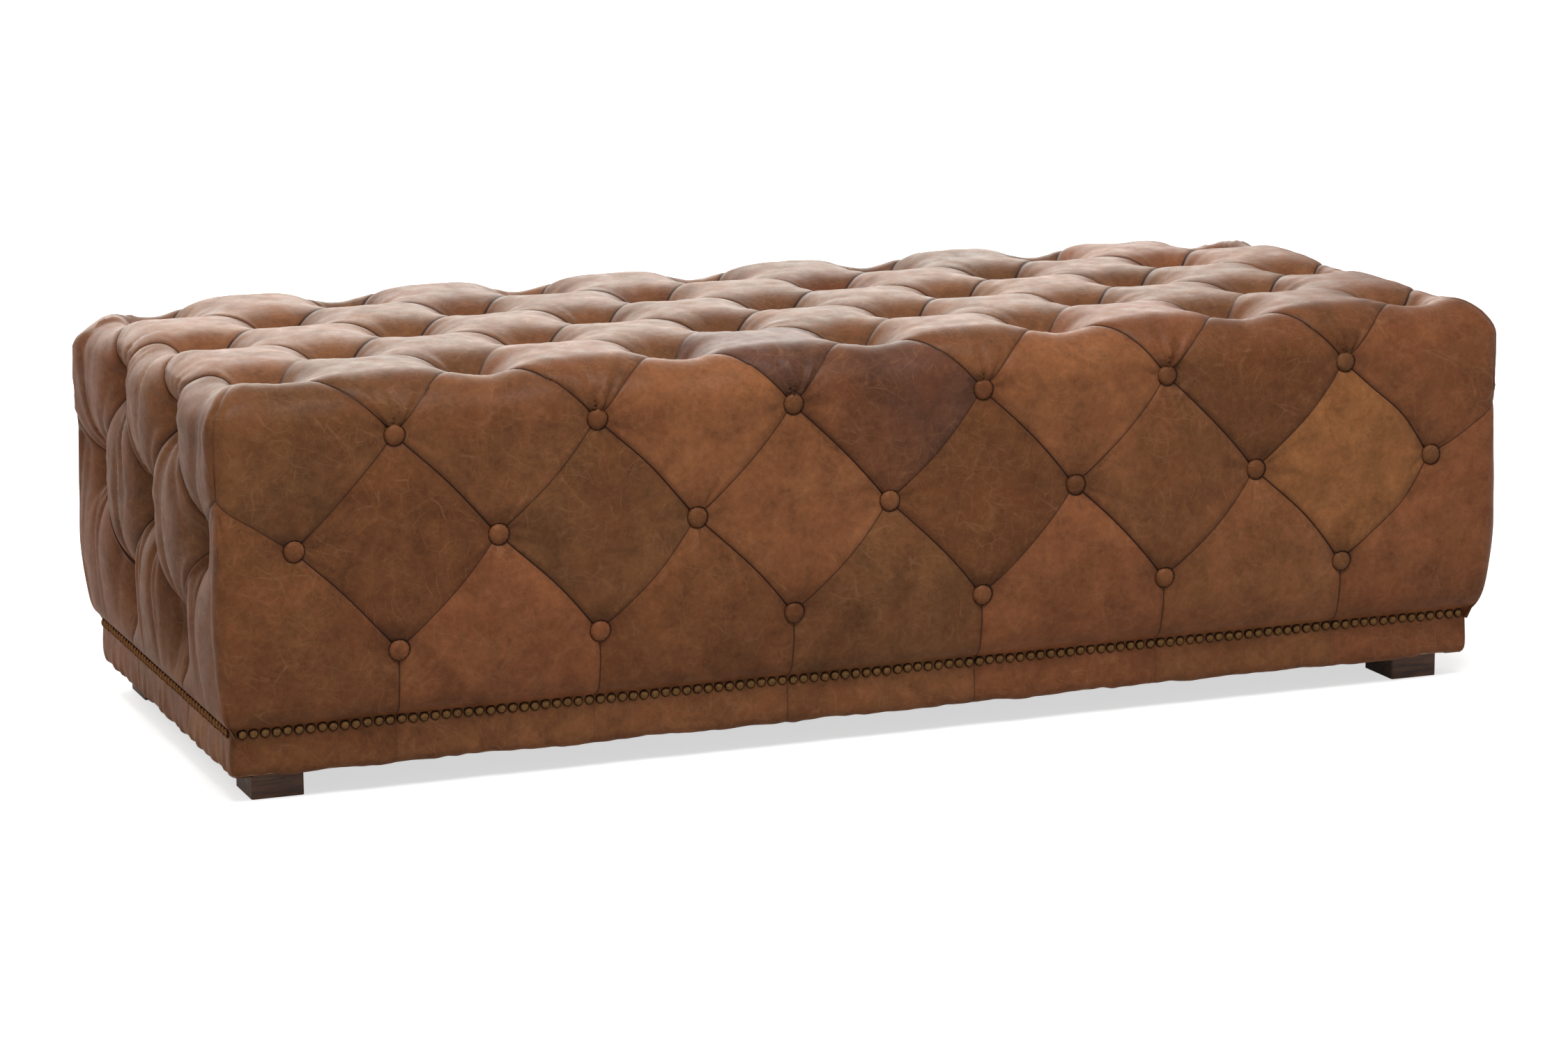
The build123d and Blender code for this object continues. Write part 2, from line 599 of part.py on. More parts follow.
# Deck on battens
batten_tools = post_dowels + deck_screws
BATTEN_Y = BOX_Y - BATTEN_WIDTH
front_batten = span(-BOX_X, BOX_X, -BOX_Y, -BATTEN_Y, POST_TOP, BATTEN_TOP)
left_batten = span(-BOX_X, BATTEN_WIDTH - BOX_X, -BATTEN_Y, BATTEN_Y, POST_TOP, BATTEN_TOP)
cross_batten = span(-CROSS_HALF, CROSS_HALF, -BATTEN_Y, BATTEN_Y, POST_TOP, BATTEN_TOP)
front_batten = drilled(front_batten, batten_tools)
save("front_batten", front_batten)
save("rear_batten", turned(front_batten))
save("left_batten", left_batten)
save("right_batten", turned(left_batten))
save("cross_battens", *[Pos(i * CROSS_X, 0, 0) * cross_batten for i in (-1, 1)])
deck = span(-BOX_X, BOX_X, -BOX_Y, BOX_Y, BATTEN_TOP, DECK_Z)
save("deck_panel", drilled(deck, top_holes + deck_screws))

# Dust cover under the base, cut away round the feet
dust = span(-RETURN_X, RETURN_X, -RETURN_Y, RETURN_Y, FOOT_HEIGHT - DUST_T, FOOT_HEIGHT)
ROOM_X = FOOT_WIDTH / 2 + FIT_GAP
ROOM_Y = FOOT_DEPTH / 2 + FIT_GAP
foot_room = span(-ROOM_X, ROOM_X, -ROOM_Y, ROOM_Y, 0, FOOT_HEIGHT)
save("dust_cover", drilled(dust, [place * foot_room for place in FEET]))
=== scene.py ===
import json
import math
from itertools import product

import bpy
import numpy as np
from mathutils import Matrix, Vector


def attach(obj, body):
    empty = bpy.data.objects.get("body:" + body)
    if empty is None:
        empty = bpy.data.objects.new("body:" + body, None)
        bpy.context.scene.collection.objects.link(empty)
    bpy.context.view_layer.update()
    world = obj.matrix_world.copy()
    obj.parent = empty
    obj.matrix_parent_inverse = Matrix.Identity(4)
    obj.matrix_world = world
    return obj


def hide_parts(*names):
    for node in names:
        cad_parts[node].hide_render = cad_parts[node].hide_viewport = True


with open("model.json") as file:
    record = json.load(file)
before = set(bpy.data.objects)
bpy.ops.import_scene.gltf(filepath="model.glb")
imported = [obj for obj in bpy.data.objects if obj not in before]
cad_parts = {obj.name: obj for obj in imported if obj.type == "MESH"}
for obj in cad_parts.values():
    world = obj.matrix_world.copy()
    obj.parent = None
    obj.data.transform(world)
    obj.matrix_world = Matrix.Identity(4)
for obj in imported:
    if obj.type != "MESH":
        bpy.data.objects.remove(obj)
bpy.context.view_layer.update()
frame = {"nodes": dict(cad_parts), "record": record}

# Sizes of the object, in metres
PITCH = 0.222
ROW = 0.1145
TOP_ROW = 0.1143
HALF_X = 0.755
HALF_Y = 0.3301
HEIGHT = 0.450
SKIRT_Z = 0.084
LOW_Z = 0.158
MID_Z = LOW_Z + ROW
HIGH_Z = MID_Z + ROW
BAND_X = 0.7325
BAND_Y = 0.2951
BAND_CORNER_R = 0.006
NAIL_Z = 0.078

# Roundings of the box under the leather
CORNER_R = 0.026
TOP_R = 0.058
TOP_CORNER_R = 0.052
TOP_CORNER_RUN = 0.11
BALL_R = 0.048
REAR_BALL_R = 0.064

# Places of the buttons
EVEN_X = [PITCH * (i - 3) for i in range(7)]
ODD_X = [PITCH * (i - 2.5) for i in range(6)]
EVEN_Y = [2 * TOP_ROW * (j - 1) for j in range(3)]
ODD_Y = [-TOP_ROW, TOP_ROW]
ROWS_Y = [TOP_ROW * (k - 2) for k in range(5)]
LONG_SIDES = (("front", -1), ("rear", 1))
END_SIDES = (("left", -1), ("right", 1))
SIDES = ("front", "rear", "left", "right")

# Directions of each face: across, up and out
AXES = {
    "top": np.array(((1, 0, 0), (0, 1, 0), (0, 0, 1)), float),
    "front": np.array(((1, 0, 0), (0, 0, 1), (0, -1, 0)), float),
    "rear": np.array(((-1, 0, 0), (0, 0, 1), (0, 1, 0)), float),
    "left": np.array(((0, -1, 0), (0, 0, 1), (-1, 0, 0)), float),
    "right": np.array(((0, 1, 0), (0, 0, 1), (1, 0, 0)), float),
}

TOUCH = 1e-6
TINY = 1e-9
MM = 1000
FULL_TURN = 6.3
rng = np.random.RandomState(7)

# Smooth value noise on a lattice, the same on every run
LATTICE = 32
NOISE_SHIFT = 17.3
TABLE = np.random.RandomState(3).rand(LATTICE, LATTICE, LATTICE) * 2 - 1


def noise(points, size, seed):
    q = np.asarray(points, float) / size + NOISE_SHIFT * (seed + 1)
    cell = np.floor(q).astype(int)
    f = q - cell
    f = f * f * (3 - 2 * f)
    total = 0
    for dx, dy, dz in product((0, 1), repeat=3):
        weight = np.abs(1 - dx - f[..., 0]) * np.abs(1 - dy - f[..., 1]) * np.abs(1 - dz - f[..., 2])
        corner = (cell + (dx, dy, dz)) % LATTICE
        total = total + weight * TABLE[corner[..., 0], corner[..., 1], corner[..., 2]]
    return total


# Relief of a given height, size and seed
def relief(points, height, size, seed):
    return height * noise(points, size, seed)


def smooth(a, b, x):
    t = np.clip((x - a) / (b - a), 0, 1)
    return t * t * (3 - 2 * t)


def mesh_object(name, verts, faces):
    mesh = bpy.data.meshes.new(name)
    verts = np.asarray(verts, np.float32)
    faces = np.asarray(faces, np.int32)
    sides = faces.shape[1]
    mesh.vertices.add(len(verts))
    mesh.vertices.foreach_set("co", verts.ravel())
    mesh.loops.add(faces.size)
    mesh.loops.foreach_set("vertex_index", faces.ravel())
    mesh.polygons.add(len(faces))
    mesh.polygons.foreach_set("loop_start", np.arange(0, faces.size, sides, dtype=np.int32))
    mesh.polygons.foreach_set("loop_total", np.full(len(faces), sides, np.int32))
    mesh.update(calc_edges=True)
    mesh.validate()
    mesh.polygons.foreach_set("use_smooth", np.full(len(faces), True))
    obj = bpy.data.objects.new(name, mesh)
    bpy.context.scene.collection.objects.link(obj)
    return obj


def attribute(obj, name, values, kind="FLOAT", domain="POINT"):
    layer = obj.data.attributes.new(name, kind, domain)
    field = "color" if kind == "FLOAT_COLOR" else "value"
    layer.data.foreach_set(field, np.asarray(values, np.float32).ravel())


# One tone for each face
def paint_faces(obj, face_tones):
    colours = np.ones((len(face_tones) * 4, 4))
    colours[:, :3] = np.repeat(face_tones, 4, axis=0)
    attribute(obj, "tone", colours, "FLOAT_COLOR", "CORNER")


# Each leather patch is a grid laid out flat, then folded over the edges of the box
GRID = 36
EVEN_SHARE = 0.26


def long_fold(sy):
    def fold(q):
        x, s = q[..., 0], q[..., 1]
        y = sy * (HALF_Y - np.maximum(s, 0))
        return np.stack([x, y, HEIGHT + np.minimum(s, 0)], -1)
    return fold


def end_fold(sx):
    def fold(q):
        y, s = q[..., 0], q[..., 1]
        x = sx * (HALF_X - np.maximum(s, 0))
        return np.stack([x, y, HEIGHT + np.minimum(s, 0)], -1)
    return fold


def corner_fold(sx, sy):
    def fold(q):
        w, z = q[..., 0], q[..., 1]
        x = sx * (HALF_X + np.minimum(w, 0))
        y = sy * (HALF_Y - np.maximum(w, 0))
        return np.stack([x, y, z], -1)
    return fold


def flat_top(q):
    return np.stack([q[..., 0], q[..., 1], np.full(q.shape[:-1], HEIGHT)], -1)


# Steps from 0 to 1 that close up towards the seams
def spread(n):
    t = np.linspace(0, 1, n + 1)
    return EVEN_SHARE * t + (1 - EVEN_SHARE) * (0.5 - 0.5 * np.cos(np.pi * t))


# Points on a line of two or three corners
def along(points, t):
    pts = np.asarray(points, float)
    if len(pts) == 2:
        return pts[0] + (pts[1] - pts[0]) * t[:, None]
    half = t[:, None] * 2
    first = pts[0] + (pts[1] - pts[0]) * np.minimum(half, 1)
    return first + (pts[2] - pts[1]) * np.maximum(half - 1, 0)


def to_line(q, a, b):
    a, b = np.asarray(a), np.asarray(b)
    d = b - a
    t = np.clip(((q - a) @ d) / (d @ d), 0, 1)
    return np.linalg.norm(q - a - t[..., None] * d, axis=-1)


# How far a seam is drawn in: full on falling seams, faint on rising and sewn-flat ones
RISING_PULL = 0.4
SEWN_PULL = 0.25
SEWN_LOW_PULL = 0.35
UPRIGHT_PULL = 0.55


def pull(kind, a, b):
    if kind == "corner":
        return RISING_PULL
    if kind != "long" or (b[0] - a[0]) * (b[1] - a[1]) < 0:
        return 1.0
    return RISING_PULL


# Folds that fan out from the corners of a patch and long pleats between its ends
FAN_OPENS = (0.010, 0.020)
FAN_FROM = 0.016
FAN_REACH = 0.032
FAN_WAVES = (2, 3, 5)
FAN_STRENGTH = (0.3, 0.8)
PLEATS = 9
PLEAT_AT = (-0.85, 0.85)
PLEAT_BEND = (-0.10, 0.10)
PLEAT_BENDS = 2.2
PLEAT_WIDTH = (0.035, 0.085)
PLEAT_STRENGTH = (0.35, 1.0)
PLEAT_RUN = (0.45, 1.1)
TIP_LEAST = 0.06
TIP_FADE = (0.05, 0.25)


def gathers(q, a, b, corners, bottom_gain):
    fan = 0
    shares = [(a, b), (1 - a, b), (1 - a, 1 - b), (a, 1 - b)]
    gains = (1.0, 1.0, bottom_gain, 1.0)
    for (s, t), corner, gain in zip(shares, corners, gains):
        phi = t / (s + t + TINY)
        r = np.linalg.norm(q - np.asarray(corner), axis=-1)
        wave = 0
        for k in FAN_WAVES:
            strength = rng.uniform(*FAN_STRENGTH)
            wave = wave + strength * np.cos(2 * np.pi * k * phi + rng.uniform(0, FULL_TURN))
        window = np.sin(np.pi * phi) ** 0.7 * smooth(*FAN_OPENS, r)
        window = window * np.exp(-np.maximum(r - FAN_FROM, 0) / FAN_REACH)
        fan = fan + gain * wave * window
    v = a + b
    tip = np.minimum(v, 2 - v)
    h = (b - a) / np.maximum(tip, TIP_LEAST)
    crimp = 0
    for k in range(PLEATS):
        at = rng.uniform(*PLEAT_AT)
        at = at + rng.uniform(*PLEAT_BEND) * np.sin(PLEAT_BENDS * v + rng.uniform(0, FULL_TURN))
        width = rng.uniform(*PLEAT_WIDTH)
        run = v if k % 2 else 2 - v
        pleat = rng.uniform(*PLEAT_STRENGTH) * np.exp(-np.abs(h - at) / width)
        crimp = crimp + pleat * np.exp(-run / rng.uniform(*PLEAT_RUN))
    crimp = crimp * np.clip(1 - h * h, 0, 1) * smooth(*TIP_FADE, tip)
    return fan, crimp


patches = []


# A four-sided patch: top, left, bottom and right corners; the sewn side bends at the box corner
def diamond(kind, fold, top, left, bottom, right, bend=None, gain=1.0):
    t = spread(GRID)
    sides = {"tl": [top, left], "tr": [top, right], "lb": [left, bottom], "rb": [right, bottom]}
    if bend is not None:
        sides["tl"] = [top, bend, left]
    tl, tr, lb, rb = (along(line, t) for line in sides.values())
    a = t[:, None, None]
    b = t[None, :, None]
    q = (1 - b) * tl[:, None] + b * rb[:, None] + (1 - a) * tr[None, :] + a * lb[None, :]
    q = q - ((1 - a) * (1 - b) * np.asarray(top) + a * (1 - b) * np.asarray(left)
             + (1 - a) * b * np.asarray(right) + a * b * np.asarray(bottom))
    sewn = {} if bend is None else {"tl": SEWN_PULL, "lb": SEWN_LOW_PULL}
    near = []
    for key, line in sides.items():
        d = np.min([to_line(q, u, v) for u, v in zip(line, line[1:])], axis=0)
        near.append((d, sewn.get(key, pull(kind, line[0], line[-1]))))
    a, b = a[..., 0], b[..., 0]
    swell = 16 * a * (1 - a) * b * (1 - b) if bend is None else 4 * a * (1 - a) * (1 - b ** 2)
    fan, crimp = gathers(q, a + 0 * b, b + 0 * a, (top, left, bottom, right), gain)
    patches.append({"p": fold(q), "near": near, "swell": swell, "fan": fan, "crimp": crimp})


# A patch with upright sides and a plain lower edge that is tucked under
HEM_STEP = 0.05
SEAM_BELOW = 0.05
CURTAIN_PLEATS = 12
CURTAIN_PLEAT_AT = (0.06, 0.94)
CURTAIN_PLEAT_BEND = 0.012
CURTAIN_PLEAT_BENDS = 5
CURTAIN_PLEAT_WIDTH = (0.012, 0.035)
CURTAIN_PLEAT_TOP = (1.0, 0.93)
CURTAIN_STRENGTH = (0.3, 0.9)
CURTAIN_WAVES = (7, 11, 16)
CURTAIN_FAN_REACH = 0.034
CURTAIN_FAN_SPREAD = 0.5


def curtain(kind, fold, roof, low):
    t = spread(GRID)
    lines = [along([a, b], t) for a, b in zip(roof, roof[1:])]
    top = np.concatenate([lines[0]] + [line[1:] for line in lines[1:]])
    v = np.concatenate([[-HEM_STEP], spread(GRID)])
    base = np.stack([top[:, 0], np.full(len(top), low)], -1)
    q = base[:, None] + (top - base)[:, None] * v[None, :, None]
    near = [(to_line(q, a, b), pull(kind, a, b)) for a, b in zip(roof, roof[1:])]
    for end in (roof[0], roof[-1]):
        near.append((to_line(q, end, (end[0], low - SEAM_BELOW)), UPRIGHT_PULL))
    u = ((top[:, 0] - top[0, 0]) / (top[-1, 0] - top[0, 0]))[:, None]
    v = v[None, :]
    swell = np.clip(4 * u * (1 - u) * np.clip(1 - v ** 2, 0, 1), 0, 1)
    crimp = 0
    for _ in range(CURTAIN_PLEATS):
        at = rng.uniform(*CURTAIN_PLEAT_AT)
        at = at + CURTAIN_PLEAT_BEND * np.sin(CURTAIN_PLEAT_BENDS * v + rng.uniform(0, FULL_TURN))
        fade = np.exp(-(1 - v) / rng.uniform(*CURTAIN_STRENGTH))
        strength = rng.uniform(*CURTAIN_STRENGTH)
        crimp = crimp + strength * np.exp(-np.abs(u - at) / rng.uniform(*CURTAIN_PLEAT_WIDTH)) * fade
    crimp = crimp * (4 * u * (1 - u)) ** 0.5 * smooth(*CURTAIN_PLEAT_TOP, v)
    fan = 0
    for point in roof[1:-1]:
        d = q - np.asarray(point)
        r = np.linalg.norm(d, axis=-1)
        ang = np.arctan2(d[..., 0], -d[..., 1])
        window = smooth(*FAN_OPENS, r) * np.exp(-np.maximum(r - FAN_FROM, 0) / CURTAIN_FAN_REACH)
        window = window * np.exp(-(ang / CURTAIN_FAN_SPREAD) ** 2)
        for k in CURTAIN_WAVES:
            strength = rng.uniform(*CURTAIN_STRENGTH)
            fan = fan + strength * np.cos(k * ang + rng.uniform(0, FULL_TURN)) * window
    patches.append({"p": fold(q), "near": near, "swell": swell, "fan": fan, "crimp": crimp})


# Rows of buttons as ways past the top edge: down the wall below 0, in over the top above it
WALL_HIGH = HIGH_Z - HEIGHT
WALL_MID = MID_Z - HEIGHT
WALL_LOW = LOW_Z - HEIGHT
WALL_HEM = SKIRT_Z - HEIGHT
WALL_FORK = (MID_Z + HIGH_Z) / 2 - HEIGHT
OUTER_X = 3 * PITCH
NEXT_X = 2.5 * PITCH
OUTER_Y = 2 * TOP_ROW
NEXT_Y = TOP_ROW
LONG_FIRST = HALF_Y - OUTER_Y
LONG_SECOND = HALF_Y - NEXT_Y
END_FIRST = HALF_X - OUTER_X
END_SECOND = HALF_X - NEXT_X
EDGE_GAIN = 3.4

for sy in (-1, 1):
    fold = long_fold(sy)
    for x, left, right in zip(ODD_X, EVEN_X, EVEN_X[1:]):
        diamond("long", fold, (x, WALL_HIGH), (left, WALL_MID), (x, WALL_LOW), (right, WALL_MID))
        diamond("long", fold, (x, LONG_SECOND), (left, LONG_FIRST), (x, WALL_HIGH), (right, LONG_FIRST),
                gain=EDGE_GAIN)
    for x, left, right in zip(EVEN_X[1:], ODD_X, ODD_X[1:]):
        diamond("long", fold, (x, LONG_FIRST), (left, WALL_HIGH), (x, WALL_MID), (right, WALL_HIGH))
        curtain("long", fold, [(left, WALL_LOW), (x, WALL_MID), (right, WALL_LOW)], WALL_HEM)
    for sx in (-1, 1):
        diamond("long", fold, (sx * OUTER_X, LONG_FIRST), (sx * HALF_X, WALL_FORK), (sx * OUTER_X, WALL_MID),
                (sx * NEXT_X, WALL_HIGH), bend=(sx * HALF_X, 0.0))

CORNER_ROOF = [
    (-END_SECOND, LOW_Z), (-END_FIRST, MID_Z), (0.0, WALL_FORK + HEIGHT),
    (LONG_FIRST, MID_Z), (LONG_SECOND, LOW_Z),
]
for sx in (-1, 1):
    fold = end_fold(sx)
    for y, left, right in zip(ODD_Y, EVEN_Y, EVEN_Y[1:]):
        diamond("end", fold, (y, WALL_HIGH), (left, WALL_MID), (y, WALL_LOW), (right, WALL_MID))
        diamond("end", fold, (y, END_SECOND), (left, END_FIRST), (y, WALL_HIGH), (right, END_FIRST))
    left, right = ODD_Y
    diamond("end", fold, (0.0, END_FIRST), (left, WALL_HIGH), (0.0, WALL_MID), (right, WALL_HIGH))
    curtain("end", fold, [(left, WALL_LOW), (0.0, WALL_MID), (right, WALL_LOW)], WALL_HEM)
    for sy in (-1, 1):
        diamond("end", fold, (sy * OUTER_Y, END_FIRST), (sy * HALF_Y, WALL_FORK), (sy * OUTER_Y, WALL_MID),
                (sy * NEXT_Y, WALL_HIGH), bend=(sy * HALF_Y, 0.0))
        curtain("corner", corner_fold(sx, sy), CORNER_ROOF, SKIRT_Z)

for x, left, right in zip(EVEN_X[1:], ODD_X, ODD_X[1:]):
    for near_y, y, far_y in (ROWS_Y[0:3], ROWS_Y[2:5]):
        diamond("top", flat_top, (x, far_y), (left, y), (x, near_y), (right, y))
for x, left, right in zip(ODD_X, EVEN_X, EVEN_X[1:]):
    diamond("top", flat_top, (x, ROWS_Y[3]), (left, ROWS_Y[2]), (x, ROWS_Y[1]), (right, ROWS_Y[2]))

# Buttons: face and place on the box
buttons = []
for x in EVEN_X:
    buttons += [("top", (x, y, HEIGHT)) for y in ROWS_Y[0::2]]
    buttons += [(face, (x, s * HALF_Y, MID_Z)) for face, s in LONG_SIDES]
for x in ODD_X:
    buttons += [("top", (x, y, HEIGHT)) for y in ROWS_Y[1::2]]
    for face, s in LONG_SIDES:
        buttons += [(face, (x, s * HALF_Y, z)) for z in (LOW_Z, HIGH_Z)]
for face, s in END_SIDES:
    buttons += [(face, (s * HALF_X, y, MID_Z)) for y in EVEN_Y]
    buttons += [(face, (s * HALF_X, y, z)) for y in ODD_Y for z in (LOW_Z, HIGH_Z)]

# Join the patches along their seams
LAYERS = ("patch", "seam", "force", "sharp", "roll", "swell", "fan", "crimp")
SHARP_REACH = 0.0022
ROLL_REACH = 0.011
WELDS_PER_METRE = 20000


def join():
    parts = {name: [] for name in ("p",) + LAYERS}
    quads = []
    face_patch = []
    offset = 0
    for k, patch in enumerate(patches):
        n, m = patch["p"].shape[:2]
        d = np.array([d for d, force in patch["near"]])
        force = np.array([force for d, force in patch["near"]])[:, None, None]
        blank = np.zeros((n, m))
        values = {
            "p": patch["p"],
            "patch": blank + k,
            "seam": d.min(0),
            "force": np.take_along_axis(force + 0 * d, d.argmin(0)[None], 0)[0],
            "sharp": (force * np.exp(-d / SHARP_REACH)).max(0),
            "roll": ((0.3 + 0.7 * force) * np.exp(-d / ROLL_REACH)).max(0),
            "swell": blank + patch["swell"],
            "fan": blank + patch["fan"],
            "crimp": blank + patch["crimp"],
        }
        for name, value in values.items():
            parts[name].append(value.reshape(n * m, -1))
        idx = offset + np.arange(n * m).reshape(n, m)
        quad = np.stack([idx[:-1, :-1], idx[1:, :-1], idx[1:, 1:], idx[:-1, 1:]], -1).reshape(-1, 4)
        quads.append(quad)
        face_patch.append(np.full(len(quad), k))
        offset += n * m
    points = np.concatenate(parts["p"])
    keys = np.round(points * WELDS_PER_METRE).astype(np.int64)
    _, first, inverse = np.unique(keys, axis=0, return_index=True, return_inverse=True)
    layers = {name: np.concatenate(parts[name])[first, 0] for name in LAYERS}
    return points[first], inverse.ravel()[np.concatenate(quads)], np.concatenate(face_patch), layers


laid, faces, face_patch, layers = join()
seam = layers["seam"]
crimp = layers["crimp"]


# Rolled edge: s is the way past the edge, down the wall if positive and over the top if negative
def rolled(s, radius):
    th = np.pi / 4 * (1 - np.clip(s / radius, -1, 1))
    inset = radius * (1 - np.cos(th)) + np.maximum(-s - radius, 0)
    drop = radius * (1 - np.sin(th)) + np.maximum(s - radius, 0)
    return inset, drop


def edge_radius(from_corner):
    return TOP_CORNER_R + (TOP_R - TOP_CORNER_R) * smooth(0.0, TOP_CORNER_RUN, from_corner)


# The upper corners as balls that turn square towards the upright edges
SQUARE_BELOW = 0.8


def balled(q, rear):
    ball_r = np.where(rear, REAR_BALL_R, BALL_R)[:, None]
    centre = np.array([HALF_X, HALF_Y, HEIGHT]) - ball_r
    v = q - centre
    climb = np.arctan2(v[:, 2], np.hypot(v[:, 0], v[:, 1]))
    squarish = (ball_r[:, 0] - CORNER_R) * (math.sqrt(2) - 1)
    limit = ball_r[:, 0] + squarish * (1 - smooth(0.0, SQUARE_BELOW, climb))
    limit = limit / np.maximum(np.linalg.norm(v, axis=1), TINY)
    ball = np.all(v > 0, axis=1)
    return np.where(ball[:, None], centre + v * np.minimum(1, limit)[:, None], q)


# The box with rolled top edges that tighten at the corners
DROP_SHARE = 1.9


def rounded(p):
    dx = HALF_X - np.abs(p[:, 0])
    dy = HALF_Y - np.abs(p[:, 1])
    t = HEIGHT - p[:, 2]
    on_end = dx < TOUCH
    on_long = (dy < TOUCH) & ~on_end
    radius_x = edge_radius(dy)
    radius_y = edge_radius(dx)
    wall_radius = np.where(on_end, radius_x, radius_y)
    wall_in, wall_drop = rolled(t, wall_radius)
    share = wall_in / rolled(0 * t, wall_radius)[0]
    inset_x, drop_x = rolled(-dx, radius_x)
    inset_y, drop_y = rolled(-dy, radius_y)
    inset_x = np.where(on_end, wall_in, dx + share * (inset_x - dx))
    inset_y = np.where(on_long, wall_in, dy + share * (inset_y - dy))
    drop_x = np.where(on_end, wall_drop, share * drop_x)
    drop_y = np.where(on_long, wall_drop, share * drop_y)
    first = np.where(on_end, drop_x, drop_y)
    second = np.where(on_end, drop_y, drop_x)
    drop = first + second * np.maximum(0, 1 - DROP_SHARE * np.minimum(first / wall_radius, 0.5))
    plan = np.stack([HALF_X - inset_x, HALF_Y - inset_y], -1)
    c = np.minimum(plan, np.array([HALF_X, HALF_Y]) - CORNER_R)
    v = plan - c
    length = np.linalg.norm(v, axis=-1, keepdims=True)
    plan = c + v * np.minimum(1, CORNER_R / np.maximum(length, TINY))
    q = balled(np.stack([plan[:, 0], plan[:, 1], HEIGHT - drop], -1), p[:, 1] > 0)
    q[:, :2] *= np.sign(p[:, :2])
    return q


def face_normals(verts, faces):
    a = verts[faces[:, 2]] - verts[faces[:, 0]]
    b = verts[faces[:, 3]] - verts[faces[:, 1]]
    return np.cross(a, b)


def point_normals(verts, faces):
    flat = face_normals(verts, faces)
    total = np.zeros_like(verts)
    for k in range(4):
        np.add.at(total, faces[:, k], flat)
    return total / np.maximum(np.linalg.norm(total, axis=1, keepdims=True), 1e-12)


# Faces that point to the inside are turned round
CORE_INSET = 0.12


def turned_out(verts, faces):
    low = (-HALF_X + CORE_INSET, -HALF_Y + CORE_INSET, LOW_Z)
    high = (HALF_X - CORE_INSET, HALF_Y - CORE_INSET, HEIGHT - CORE_INSET)
    outward = (verts - np.clip(verts, low, high))[faces].mean(1)
    inward = np.einsum("ij,ij->i", face_normals(verts, faces), outward) < 0
    return np.where(inward[:, None], faces[:, ::-1], faces)


reach = np.full(len(laid), 9.0)
for face, at in buttons:
    reach = np.minimum(reach, np.linalg.norm(laid - np.array(at), axis=1))
is_top = laid[:, 2] > HEIGHT - TOUCH
is_long = np.abs(np.abs(laid[:, 1]) - HALF_Y) < TOUCH
is_end = np.abs(np.abs(laid[:, 0]) - HALF_X) < TOUCH

# Seams wander a little between the buttons and lean to the right between the rows of the long sides
WANDER_SIZE = 0.13
WANDER = 0.0065
LONG_WANDER = 0.0030
WANDER_FREE = 0.05
WANDER_FROM_HEM = 0.05
LEAN = 0.0035
LEAN_FROM_CORNER = 0.08
LAST_LEAN = 0.0060
LAST_LEAN_FROM = (2.55 * PITCH, 2.8 * PITCH)
LAST_LEAN_TO = (3.25 * PITCH, 3.02 * PITCH)


def wandered(p):
    x, y, z = p.T
    free = 1 - np.exp(-(reach / WANDER_FREE) ** 2)
    shift = np.stack([noise(p, WANDER_SIZE, seed) for seed in (1, 2, 3)], -1) * free[:, None]
    shift *= np.where(is_long & ~is_top, LONG_WANDER, WANDER)[:, None]
    wave = np.sin(np.pi * (z - MID_Z) / ROW) ** 2 * (z < HIGH_Z) * (z > LOW_Z)
    lean = LEAN + LAST_LEAN * smooth(*LAST_LEAN_FROM, x) * smooth(*LAST_LEAN_TO, x) * (y < 0)
    inside = smooth(HALF_X, HALF_X - LEAN_FROM_CORNER, np.abs(x))
    shift[:, 0] += np.where(is_long, wave * lean * inside, 0)
    shift[is_top, 2] = 0
    shift[is_long, 1] = 0
    shift[is_end, 0] = 0
    shift[:, 2] *= smooth(SKIRT_Z, SKIRT_Z + WANDER_FROM_HEM, z)
    return p + shift


END_FADE = (-0.03, 0.055)
placed = wandered(laid)
box = rounded(placed)
faces = turned_out(box, faces)
normal = point_normals(box, faces)
w_top = normal[:, 2] ** 2
w_end = normal[:, 0] ** 2 * smooth(*END_FADE, HALF_Y - np.abs(placed[:, 1]))
w_long = normal[:, 1] ** 2

# How deep the seams, folds and pleats are on the top, on the ends and on the long sides
SEAM_DEPTH = (0.0010, 0.0030, 0.0015)
ROLL_DEPTH = (0.0016, 0.0050, 0.0018)
SLACK_DEPTH = (0.0018, 0.0055, 0.0016)
FAN_DEPTH = (0.0014, 0.0022, 0.0017)
PLEAT_DEPTH = (0.0010, 0.0115, 0.0002)
FATNESS = 0.0015


def by_face(depths):
    on_top, on_ends, on_longs = depths
    return w_top * on_top + w_end * on_ends + w_long * on_longs


full = np.sqrt(np.clip(layers["swell"], 0, 1))
fat = rng.uniform(-FATNESS, FATNESS, len(patches))[layers["patch"].astype(int)]
depth = by_face(SEAM_DEPTH) * layers["sharp"]
depth += by_face(ROLL_DEPTH) * layers["roll"]
depth += by_face(SLACK_DEPTH) * (1 - full)
depth += fat * full
depth += by_face(FAN_DEPTH) * layers["fan"]
depth += by_face(PLEAT_DEPTH) * crimp

# The top edges dip towards the first row of buttons
DIP_AT = 0.035
DIP_REACH = 0.055
DIP_WIDTH = 0.042
FRONT_DIPS = (0.002,) + (0.008,) * 5 + (0.006,)
REAR_DIPS = (0.015,) + (0.0125,) * 5 + (0.0145, 0.006)
END_DIPS = (0.005, 0.006, 0.009)
RIGHT_END_SHARE = 0.4


